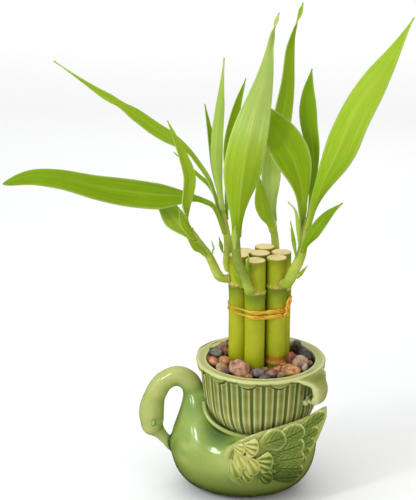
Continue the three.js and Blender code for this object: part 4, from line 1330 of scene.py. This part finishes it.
# Those that show round the canes: x, y, z, half width, half height and colour.
FRONT_PEBBLES = [
    (-1.5, -22.6, 78.8, 5.7, 5.6, "D9A384"),
    (8.2, -24.4, 77.4, 3.9, 2.9, "807870"),
    (15.9, -24.2, 77.4, 3.5, 2.5, "A27A62"),
    (19.0, -20.6, 78.2, 2.4, 1.8, "DA8A4E"),
    (26.0, -19.2, 77.0, 5.6, 3.0, "E3A566"),
    (31.6, -11.8, 79.2, 4.6, 3.4, "C8A988"),
    (33.8, -15.4, 77.4, 2.2, 2.0, "D2C4AC"),
    (26.6, -11.0, 80.4, 2.7, 4.0, "9C5038"),
    (34.6, -3.0, 79.4, 4.2, 3.7, "565150"),
    (29.7, 8.0, 80.2, 3.0, 2.9, "4E4640"),
    (-16.0, -8.0, 77.2, 2.9, 2.6, "E09A5C"),
    (-10.1, -12.0, 79.4, 3.3, 2.9, "D8945A"),
    (-11.4, -16.0, 77.2, 3.4, 2.2, "D0AE80"),
    (-14.7, 0.0, 79.0, 4.2, 2.4, "8A827A"),
    (-12.4, 5.2, 79.6, 2.2, 1.9, "C29484"),
    (-9.5, 2.0, 79.0, 2.2, 2.2, "A87558"),
    (-4.5, -15.5, 78.4, 3.0, 2.6, "BC845C"),
    (21.5, -15.6, 78.6, 2.6, 2.4, "B87350"),
]
PEBBLE_TRIES = 900
# The rule tries half widths in the first range, and after half of its tries in the second.
LARGE_PEBBLES = (3.0, 5.0)
SMALL_PEBBLES = (1.8, 3.2)
LUMP_DEPTH = 0.34
# The least way between two pebbles, as a share of their two half widths together, and that from a cane's
# skin to a pebble's middle, as a share of its half width.
PEBBLE_CLEAR = 0.72
CANE_CLEAR = 0.62
PEBBLE_SEED = 7


def pebble_form(centre, size, tall, random):
    """A ball pushed out of round, laid flat and turned. Its half width is size and its half height tall."""
    bm = ball(3)
    shift = Vector((random.uniform(0, 90), random.uniform(0, 90), random.uniform(0, 90)))
    for vert in bm.verts:
        lump = noise.noise(vert.co * 0.9 + shift) + 0.35 * noise.noise(vert.co * 2.2 + shift)
        vert.co *= 1 + LUMP_DEPTH * lump
    scale = (size, size * random.uniform(0.78, 0.92), tall)
    bmesh.ops.scale(bm, vec=scale, verts=bm.verts)
    # The long side lies along the cup's wall.
    round_cup = math.atan2(centre[1], centre[0] - CUP_X) + math.pi / 2
    turn = Matrix.Rotation(round_cup + random.uniform(-0.3, 0.3), 3, "Z")
    turn @= Matrix.Rotation(random.uniform(-0.25, 0.25), 3, "X")
    return set_down(bm, centre, turn)


def pebble_places(random):
    """Listed pebbles first, then smaller ones in every gap that is left."""
    placed = list(FRONT_PEBBLES)
    for attempt in range(PEBBLE_TRIES):
        angle = random.uniform(0, 2 * math.pi)
        size = random.uniform(*(LARGE_PEBBLES if attempt < PEBBLE_TRIES / 2 else SMALL_PEBBLES))
        reach = random.uniform(17.5 + 0.5 * size, MOUTH_R - 0.6 * size)
        x, y = CUP_X + reach * math.cos(angle), reach * math.sin(angle)
        z = BED_TOP + random.uniform(0.2, 1.8) - 0.3 * size + 1.4
        clear = [((a, b), PEBBLE_CLEAR * (size + other)) for a, b, _, other, _, _ in placed]
        clear += [((cane.x, cane.y), STALK_R + CANE_CLEAR * size) for cane in stalk_places]
        if all((x - a) ** 2 + (y - b) ** 2 > least**2 for (a, b), least in clear):
            placed.append((x, y, z, size, size * random.uniform(0.62, 0.8), random.choice(STONE_COLOURS)))
    return placed


def store_tones(piece, tones):
    layer = piece.data.attributes.new("stone_colour", "FLOAT_COLOR", "POINT")
    layer.data.foreach_set("color", [channel for tone in tones for channel in tone])


def finish_pebbles():
    random = Random(PEBBLE_SEED)
    forms, tones = [], []
    for x, y, z, size, tall, tone in pebble_places(random):
        form = pebble_form((x, y, z), size, tall, random)
        tones += [colour(tone)] * len(form.verts)
        forms.append(form)
    print(len(forms), "pebbles")
    piece = finished("pebbles", joined(forms), STONE, "pebbles", "pebble_bed")
    store_tones(piece, tones)


# %% Grit under the pebbles
GRIT_TOP = BED_TOP - 2.4
GRIT_WALL = [(21.6, 41), (25.2, 47), (27.6, 59), (28.6, 66), (29.2, BED_TOP - 2)]
GRIT_TONE = "4A3B31"


def finish_grit():
    """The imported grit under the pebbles, that fills the cup down to its floor."""
    foot = CAVITY_FLOOR_Z + GAP
    grit_form = spun([(0, foot), (16.5, foot), *GRIT_WALL, (24, GRIT_TOP), (0, GRIT_TOP)], 64)
    grit = finished("grit", set_down(grit_form, (CUP_X, 0, 0)), STONE, "pebbles", "pebble_bed")
    store_tones(grit, [colour(GRIT_TONE)] * len(grit.data.vertices))


finish_pebbles()
finish_grit()

# %% [markdown]
# ## Gold tie
# A foil-covered wire tie goes twice round the bunch. Foil is crinkled, so the ribbon is a long grid wrapped
# round the canes and pushed about by noise, with thickness added after. Its two ends are twisted together.

# %% Foil material
def foil_material():
    material, tree, shader = start_material("gold foil", 0.28, Metallic=0.25)
    painted_glints_and_shade = growth_lines(tree, uv_coordinates(tree, (9, 1, 1)), 3.5)
    # Painted glints and shade: pale streaks for the crinkles' glints, brown ones for the shade in their
    # creases.
    tone = ramp(tree, painted_glints_and_shade, [(0.36, "9C5606"), (0.45, "E8A01C"), (0.6, "FFDC5C")])
    end_material(tree, shader, tone, noise_on(tree, object_coordinates(tree), 800.0), 0.0003, 0.6)
    return material


FOIL = foil_material()

# %% Ribbon and twisted ends
TIE_Z = 112
TIE_DROP = 2.9
TIE_TURNS = 2
TIE_FIRST_STALK = 1
TIE_HALF_TALL = (0.4, 1.1)
TIE_BROAD_AZIMUTH = math.radians(-56)
RIBBON_CLEAR = 0.12
RIBBON_THICKNESS = 0.3
TWIST_PATH = [
    (TIE_Z - TIE_DROP * TIE_TURNS, 0.4),
    (TIE_Z - 4, 1.8),
    (TIE_Z, 2.2),
    (TIE_Z + 3, 3.0),
    (TIE_Z + 6, 4.0),
]
TWIST_TURNS = 1.5
TWIST_R = 0.75
TWIST_HALF = 0.62
TWIST_CLEAR = 0.4


def ribbon_form():
    reach = STALK_R + RIBBON_CLEAR
    points = []
    for k in range(6 * TIE_TURNS + 1):
        index = (k + TIE_FIRST_STALK) % 6
        for turn in (-30, -10, 10, 30):
            if (k == 0 and turn < 0) or (k == 6 * TIE_TURNS and turn > 0):
                continue
            place = stalk_places[1 + index] + level_way(azimuths[index] + math.radians(turn)) * reach
            place.z = TIE_Z - TIE_DROP * (k + turn / 60) / 6
            points.append(place)
    route = Route(points)

    def place(u, v):
        centre = route.at(u)
        heading = route.heading(u)
        outward = heading.cross(Vector((0, 0, 1))).normalized()
        s = 2 * v - 1
        crinkle = noise.noise(Vector((u * 150, s * 1.4, 3)))
        azimuth = math.atan2(centre.y, centre.x - BUNCH_X)
        broad = smooth_between(math.cos(azimuth - TIE_BROAD_AZIMUTH), 0.35, 0.85)
        tall = mix(*TIE_HALF_TALL, broad) * (1 + 0.3 * noise.noise(Vector((u * 60, 7, 1))))
        lift = mix(0.15, 0.45, broad) * abs(crinkle) + 0.2 * (1 - s * s)
        return centre + outward * lift + Vector((0, 0, s * tall + 0.3 * broad * crinkle))

    return mapped_grid(520, 8, place)


def twisted_end(phase):
    """One of the two wires, that wind round each other on a line that rises from the ribbon."""
    outward = level_way(azimuths[TIE_FIRST_STALK])
    sideways = Vector((-outward.y, outward.x, 0))
    foot = stalk_places[1 + TIE_FIRST_STALK] + outward * (STALK_R + GAP + TWIST_CLEAR)
    spine = Route([(foot.x + outward.x * off, foot.y + outward.y * off, z) for z, off in TWIST_PATH])
    points = []
    for i in range(17):
        turn = phase + i / 16 * TWIST_TURNS * 2 * math.pi
        points.append(spine.at(i / 16) + (sideways * math.cos(turn) + outward * math.sin(turn)) * TWIST_R)

    def half(share):
        return TWIST_HALF + 0.12 * noise.noise(Vector((share * 30, phase, 0)))

    return round_tube(Route(points), 60, 12, half)


tie = finished("gold_ribbon", ribbon_form(), FOIL, "gold", "gold_tie")
give_wall(tie, RIBBON_THICKNESS)
finished("gold_twisted_ends", joined([twisted_end(0), twisted_end(math.pi)]), FOIL, "gold", "gold_tie")

# %% [markdown]
# ## Shoots
# Each side shoot leaves its cane at a node, turns up, and is ringed by the scars of old leaves. It is a tube
# along the same line that the CAD source follows, with small rings raised on it.

# %% Shoot routes
ELBOW = 2.2
NODE_BULGE = 0.25
HEEL_SUNK = 1.4
ROOT_ABOVE_NODE = 2.6
SHOOTS = {
    "shoot_left": dict(
        stalk=6, toward=192, half=(2.9, 1.7), ends=0.92,
        path=[(-13, -6, 126), (-18.5, -8, 138), (-26, -10, 150), (-28, -11, 158)],
    ),
    "shoot_left_back": dict(
        stalk=5, toward=180, half=(2.7, 1.6),
        path=[(-9.2, 8, 130), (-8.8, 8.4, 139), (-10.2, 8.2, 150), (-12.5, 8, 162)],
    ),
    "shoot_front": dict(
        stalk=1, toward=-108, half=(2.8, 2.4), ripe=0.75,
        path=[(0.5, -20.5, 131), (-3, -20.5, 140), (-4, -20, 150), (-4.5, -19.5, 158)],
    ),
    "shoot_back": dict(
        stalk=4, toward=52, half=(2.7, 1.8),
        path=[(17.5, 19.8, 131), (17, 19.5, 140), (16, 18, 148), (15.5, 17, 155)],
    ),
    "shoot_right": dict(
        stalk=2, toward=-50, half=(3.3, 2.1),
        path=[(26.5, -16, 132), (30.5, -17, 142), (32, -17, 152), (33, -17, 163)],
    ),
}


class Stem:
    """A shoot's own line and its thickness along it."""

    def __init__(self, shoot):
        self.axis = stalk_places[shoot["stalk"]]
        self.nodes = STALKS[shoot["stalk"]][2]
        outward = level_way(math.radians(shoot["toward"]))
        root = self.axis + outward * (STALK_R + NODE_BULGE + GAP)
        root.z = self.nodes[0] + ROOT_ABOVE_NODE
        self.route = Route([root, root + outward * ELBOW, *shoot["path"]])
        # The skin starts inside the cane and ends inside the last leaf's sheath.
        whole = Route([root - outward * HEEL_SUNK, root + outward * ELBOW, *shoot["path"]])
        self.skin_route = Route([whole.at(k / 20 * shoot.get("ends", 1)) for k in range(21)])
        self.ripe = shoot.get("ripe", 0.0)
        self.low, self.high = shoot["half"]

    def half(self, share):
        return mix(self.low, self.high, share)


stems = {name: Stem(shoot) for name, shoot in SHOOTS.items()}


# %% Shoot material
def shoot_material():
    light = dict(Subsurface_Weight=0.06, Subsurface_Scale=0.3)
    material, tree, shader = start_material("shoot skin", 0.4, **light)
    lines = growth_lines(tree, object_coordinates(tree, (1, 1, 0.08)), 800.0)
    skin = mottled(tree, object_coordinates(tree), colour("BAC840"), colour("8CA828"), 90.0)
    streaked = blend_colours(tree, maths(tree, "MULTIPLY", lines, 0.4), skin, colour("93A23F"))
    aged = layered(tree, streaked, [("ripe", colour("6A8428")), ("scar", colour("BC9458"))])
    end_material(tree, shader, aged, lines, 0.0002, 0.35)
    return material


SHOOT_SKIN = shoot_material()

# %% Finish the shoots
SCAR_SPACING = 5.2
STEM_STEPS = 150
RING_PROUD = 0.14
RING_REACH = 0.09
# The stem swells where it leaves the cane, is narrow after that, and closes at both ends.
HEEL_SWELL = 0.35
HEEL_WAIST = 0.55
WAIST_AT = 0.07
STEM_CLEAR = 0.1
RIPE_Z = (124, 134)
END_FROM = 0.86
END_HALF = 0.25


def ring_at(stem, share, reach):
    """1 in the middle of a leaf scar, at even spaces along the stem."""
    scars = stem.skin_route.length / SCAR_SPACING
    return hump((share * scars) % 1 - 0.5, reach)


def stem_form(stem):
    """The shoot's tube. Its heel closes in the cane, and is pressed out to lie on the cane's skin."""

    def half(share):
        heel = HEEL_SWELL * hump(share, 0.03) - HEEL_WAIST * hump(share - WAIST_AT, 0.08)
        end = mix(1.0, END_HALF, smooth_between(share, END_FROM, 1.0)) * min(1.0, 0.1 + (share / 0.02) ** 0.5)
        return (stem.half(share) - 0.1 + RING_PROUD * ring_at(stem, share, RING_REACH) + heel) * end

    tube = round_tube(stem.skin_route, STEM_STEPS, 24, half)
    for vert in tube.verts:
        flat = Vector((vert.co.x - stem.axis.x, vert.co.y - stem.axis.y))
        least = cane_radius(vert.co.z, stem.nodes) + STEM_CLEAR
        if flat.length < least:
            flat = flat.normalized() * least
            vert.co = Vector((stem.axis.x + flat.x, stem.axis.y + flat.y, vert.co.z))
    return tube


def scar_value(stem):
    """The scars' tan, faint on each ring and strong at the heel, by the nearest place on the stem's line."""
    samples = [(k / STEM_STEPS, stem.skin_route.at(k / STEM_STEPS)) for k in range(STEM_STEPS + 1)]

    def value(point):
        share = min(samples, key=lambda sample: (sample[1] - point).length_squared)[0]
        return max(0.16 * ring_at(stem, share, 0.11), 0.95 * hump(share, 0.045))

    return value


for name, stem in stems.items():
    piece = finished(name + "_skin", stem_form(stem), SHOOT_SKIN, "shoot", name + "_stem")
    paint(piece, "scar", scar_value(stem))
    paint(piece, "ripe", lambda point, stem=stem: stem.ripe * smooth_between(point.z, *RIPE_Z))

# %% [markdown]
# ## Leaves
# A blade clasps its stem, opens, widens, and is drawn out to a point, some with a twist on the way. The real
# ones have a soft fold at the midrib, fine lengthwise veins and a waved edge, and no two share a green.

# %% Leaf material
LEAF_TONES = [(0.0, "7E9C02"), (0.35, "92AC04"), (0.7, "B2C838"), (1.0, "C8D688")]


def leaf_material():
    light = dict(Subsurface_Weight=0.1, Subsurface_Radius=(0.003, 0.006, 0.0015), Subsurface_Scale=0.25)
    material, tree, shader = start_material("leaf", 0.5, Specular_IOR_Level=0.14, **light)
    veins = growth_lines(tree, uv_coordinates(tree, (0.06, 1, 1)), 26.0)
    middle = ramp(tree, attribute(tree, "tone"), LEAF_TONES)
    dark = blend_colours(tree, 1.0, middle, colour("BED28C"), "MULTIPLY")
    veined = blend_colours(tree, spread(tree, veins, 0.36, 0.64), dark, middle)
    deeper = blend_colours(tree, 0.25, veined, colour("84AA10"))
    drifting = mottled(tree, object_coordinates(tree), veined, deeper, 60.0)
    lined = layered(tree, drifting, [("edge", colour("C9D488")), ("rib", colour("BFCB62"))])
    end_material(tree, shader, lined, veins, 0.0004, 0.45)
    return material


LEAF = leaf_material()

# %% Leaf shapes
PLAIN = dict(neck=0.45, petiole=0.06, widest=0.42, taper=1.1, twist=0, twist_at=0.5, pinch=0, last_swell=0)
PLAIN.update(tone=0.4, paler=0, sheath=0.14, sheath_tone=0.35)
LAST_SWELL_AT = 0.95
LAST_SWELL_SPREAD = 0.05
DRAWN_TIP = 0.035
FOLD = math.radians(18)
CLASP = math.radians(62)
BLADE_THICKNESS = 0.55
LEAST_HALF_WIDTH = 0.3
EDGE_WAVE = 0.05
WIDEST_BRACT = 4
BRACT_SHARE = 0.85
TWIST_REACH = 0.12
PINCH_REACH = 0.05
EDGE_WAVES = 5
ROUND_FOLD = 0.01
COLUMN_LENGTH = 1.4
BROAD_LEAF = 6


def new_leaf(at, side, width, face, path, **differs):
    """A leaf: its share of the stem, the side it leaves to, its width, its face and its middle line."""
    return {**PLAIN, "at": at, "side": side, "width": width, "face": face, "path": path, **differs}


LEAVES = {
    "shoot_left": [
        new_leaf(
            0.9, 200, 7, (0.5, -1, 0.1),
            [
                (-31, -13, 166), (-29.4, -13.6, 175), (-28.8, -13.8, 184), (-31.8, -13.6, 194),
                (-36, -13, 204), (-40, -12, 213),
            ],
            neck=0.7, tone=0.55,
        ),
        new_leaf(
            0.62, 160, 13, (0.4, -0.8, 0.6),
            [(-37, 1, 154), (-43, 5, 162), (-52, 10, 170)],
            widest=0.5, tone=0.75,
        ),
        new_leaf(0.76, 250, 4.6, (0.2, -1, 0.3), [(-32, -17, 161), (-34, -19, 168)]),
        new_leaf(0.5, 240, 4.4, (0, -1, 0.4), [(-26.5, -15, 147), (-30, -17, 152)]),
        new_leaf(0.45, 20, 2.4, (1, 0, 0.1), [(-15.8, -7.5, 142), (-17.2, -7.8, 146.5)]),
    ],
    "shoot_left_back": [
        new_leaf(
            0.84, 170, 7.8, (0.1, -0.8, 0.6),
            [
                (-19, 7, 176), (-25, 6, 186), (-31, 4, 194), (-48, 0, 206), (-64, -4, 219), (-76, -6, 227),
                (-99, -8, 243),
            ],
            twist=-70, twist_at=0.68, pinch=0.4, petiole=0.3, widest=0.46, neck=0.38, tone=0.55, sheath=0.6,
        ),
        new_leaf(0.76, 130, 3, (0, -1, 0.4), [(-18, 14, 170), (-26, 17, 177), (-39, 19, 189)]),
        new_leaf(
            0.6, 235, 16.5, (0, -0.75, 0.65),
            [
                (-17, 3.5, 163), (-22, 3, 166), (-29, 1, 168.5), (-50, -3, 171), (-77, -8, 176),
                (-98, -12, 181.5), (-113, -14, 182.5), (-127, -16, 179),
            ],
            petiole=0.18, widest=0.38, neck=0.18, taper=0.55, tone=0.15,
        ),
        new_leaf(
            0.93, 280, 7, (-0.3, -1, 0),
            [(-15, 5, 185), (-15, 4, 199), (-13, 2, 221), (-11, 0, 244)],
            taper=1.3, tone=0.85,
        ),
        new_leaf(0.95, 92, 5, (0.3, -1, 0.2), [(-15.5, 13, 178), (-18, 15, 195), (-22, 18, 216)], tone=0.0),
        new_leaf(
            0.78, 40, 6.6, (0.4, -1, 0),
            [(-9, 14, 175), (-9, 17, 192), (-5, 21, 213), (0, 25, 229)],
            widest=0.6, tone=0.4,
        ),
        new_leaf(0.3, 190, 2.4, (0, -1, 0), [(-12.6, 7.2, 139.5), (-13.6, 7, 144)]),
    ],
    "shoot_front": [
        new_leaf(
            0.86, 300, 21, (0.15, -1, 0.15),
            [
                (-1.5, -23, 178), (1, -25, 198), (5, -25, 216), (10, -22, 236), (14, -16, 258),
                (17, -12, 269),
            ],
            twist=150, twist_at=0.9, last_swell=0.16, petiole=0.02, widest=0.32, neck=0.32, taper=1.65,
            tone=0.45, paler=0.5, sheath=0.12, sheath_tone=-0.3,
        ),
        new_leaf(0.72, 262, 3.4, (0, -1, 0.2), [(-4.5, -25.5, 157), (-4, -26, 161)], tone=0.8),
        new_leaf(0.34, 5, 2.6, (0.8, -1, 0), [(2.4, -21, 138.5), (3.1, -21, 142.5)]),
        new_leaf(0.16, 200, 2.6, (0, -1, 0.3), [(-2.9, -22.5, 129.5), (-4.9, -23, 134)]),
    ],
    "shoot_back": [
        new_leaf(
            0.85, 100, 12.5, (0.5, -1, 0.1),
            [
                (13.5, 20.5, 177), (16, 20.5, 193), (19, 20, 206), (22, 20, 226), (24, 21, 250),
                (30, 22, 270),
            ],
            twist=110, twist_at=0.88, pinch=0.2, last_swell=0.24, petiole=0.04, widest=0.22, neck=0.45,
            taper=0.9, tone=0.48, sheath=0.6, sheath_tone=0.6,
        ),
        new_leaf(0.7, 232, 8.5, (0.3, -1, 0), [(10, 11, 162), (7.5, 9, 179)], widest=0.5, tone=0.5),
    ],
    "shoot_right": [
        # Its sheath is painted paler, as painted light where it is turned from the lamps.
        new_leaf(
            0.78, 165, 20, (0.3, -1, -0.2),
            [(30, -18, 177), (27, -18, 190), (20, -15, 204), (12, -10, 215), (6, -5, 223)],
            petiole=0.2, widest=0.6, neck=0.32, tone=0.2, sheath=0.5, sheath_tone=0.6,
        ),
        new_leaf(
            0.975, 58, 9.4, (-0.2, -1, 0.1),
            [(36, -10, 180), (36, -7, 197), (33.5, -5, 212), (33, -4, 226), (34.5, -3, 239)],
            widest=0.7, neck=0.3, tone=0.15,
        ),
        new_leaf(
            0.86, -35, 19.5, (-0.5, -1, 0.4),
            [
                (40.5, -22, 182), (47, -24, 198), (55, -27, 219), (64.5, -28.5, 237), (73, -29, 251),
                (83, -29, 269),
            ],
            petiole=0.1, widest=0.44, neck=0.3, tone=0.4, paler=0.3,
        ),
        new_leaf(0.56, -82, 7, (-0.3, -1, 0.5), [(43, -25, 166), (51, -28, 174)], tone=0.05),
        new_leaf(0.62, 225, 2.4, (0, -1, 0.3), [(27, -22, 168), (23, -23, 173)], tone=0.8),
        new_leaf(0.46, 215, 2.6, (0, -1, 0.2), [(25.6, -21, 156), (24.6, -21.6, 162)]),
        new_leaf(0.2, -25, 2.4, (0, -1, 0.4), [(31, -18.8, 133), (34, -19.3, 137)]),
    ],
}


# %% Build a blade
def blade_share(t, leaf):
    """The half width as a share of the widest. A twist pinches it, and some swell again near the tip."""
    if t < leaf["widest"]:
        return mix(leaf["neck"], 1, smooth_between(t, leaf["petiole"], leaf["widest"]))
    past = (t - leaf["widest"]) / (1 - leaf["widest"])
    drawn = max(0.0, math.cos(past * math.pi / 2)) ** leaf["taper"]
    pinched = 1 - leaf["pinch"] * hump(t - leaf["twist_at"], PINCH_REACH)
    swell = leaf["last_swell"] * hump(t - LAST_SWELL_AT, LAST_SWELL_SPREAD)
    return drawn * pinched + swell * min(1.0, (1 - t) / DRAWN_TIP)


def midrib(leaf, stem):
    """The blade's middle line, the way it opens from the stem, and how close its base hugs the stem."""
    away = level_way(math.radians(leaf["side"]))
    heading = stem.route.heading(leaf["at"])
    out = (away - heading * away.dot(heading)).normalized()
    hug = stem.half(min(leaf["at"], 0.96)) + BLADE_THICKNESS / 2
    base = stem.route.at(leaf["at"]) + out * hug
    rise = min(3, leaf["width"] * 0.5)
    second = stem.route.at(min(1, leaf["at"] + rise / stem.route.length)) + out * (hug + 0.5)
    return Route([base, second, *leaf["path"]]), out, hug


def blade_form(leaf, stem):
    route, out, hug = midrib(leaf, stem)
    face = Vector(leaf["face"]).normalized()
    # The blade opens to the nearer side, so it never folds through itself.
    if out.dot(face) > 0:
        face = -face
    is_bract = leaf["width"] < WIDEST_BRACT
    width = leaf["width"] * (BRACT_SHARE if is_bract else 1)
    wave = 0.0 if is_bract else EDGE_WAVE

    def place(u, v):
        s = 2 * v - 1
        heading = route.heading(u)
        opened = 1.0 if is_bract else smooth_between(u * route.length, 1.5, 0.25 * route.length + 4)
        up = (-out).lerp(face, opened)
        twisted = smooth_between(u, leaf["twist_at"] - TWIST_REACH, leaf["twist_at"] + TWIST_REACH)
        up.rotate(Matrix.Rotation(math.radians(leaf["twist"]) * twisted, 3, heading))
        across = heading.cross(up).normalized()
        up = across.cross(heading).normalized()
        half = max(LEAST_HALF_WIDTH, width / 2 * blade_share(u, leaf))
        bend = mix(min(CLASP, half / hug), FOLD * (1 - 0.5 * u), opened)
        arc_along = half * math.sin(s * bend) / bend
        arc_rise = half * (1 - math.cos(s * bend)) / bend
        soft = math.sqrt(s * s + ROUND_FOLD)
        along = mix(arc_along, half * s * math.cos(bend), opened)
        rise = mix(arc_rise, half * soft * math.sin(bend), opened)
        rise += wave * width * math.sin(u * math.pi * EDGE_WAVES) * opened * s * abs(s)
        return route.at(u) + across * along + up * rise

    columns = max(24, int(route.length / COLUMN_LENGTH))
    return mapped_grid(columns, 20 if width > BROAD_LEAF else 10, place)


# %% Finish the leaves
def uv_attribute(piece, name, value_at):
    """Stores a value that depends on the place along and across the blade."""
    values = [0.0] * len(piece.data.vertices)
    layer = piece.data.uv_layers["UVMap"].data
    for loop in piece.data.loops:
        u, v = layer[loop.index].uv
        values[loop.vertex_index] = value_at(u, 2 * v - 1)
    store_values(piece, name, values)


def finish_leaf(node_name, leaf, stem):
    piece = finished(node_name + "_blade", blade_form(leaf, stem), LEAF, "leaf", node_name)

    def tone(u, s):
        sheath = leaf["sheath_tone"] * (1 - smooth_between(u, 0.0, leaf["sheath"]))
        # The upper blade turns paler: partly the leaf's own lighter green, partly painted sheen.
        return leaf["tone"] + leaf["paler"] * smooth_between(u, 0.15, 0.6) + sheath

    uv_attribute(piece, "edge", lambda u, s: 0.5 * smooth_between(abs(s), 0.86, 1.0))
    uv_attribute(piece, "rib", lambda u, s: 0.35 * hump(s, 0.05) * (1 - u))
    uv_attribute(piece, "tone", tone)
    give_wall(piece, BLADE_THICKNESS)


for shoot_name, leaves in LEAVES.items():
    for number, leaf in enumerate(leaves, 1):
        finish_leaf(f"{shoot_name}_leaf_{number}", leaf, stems[shoot_name])
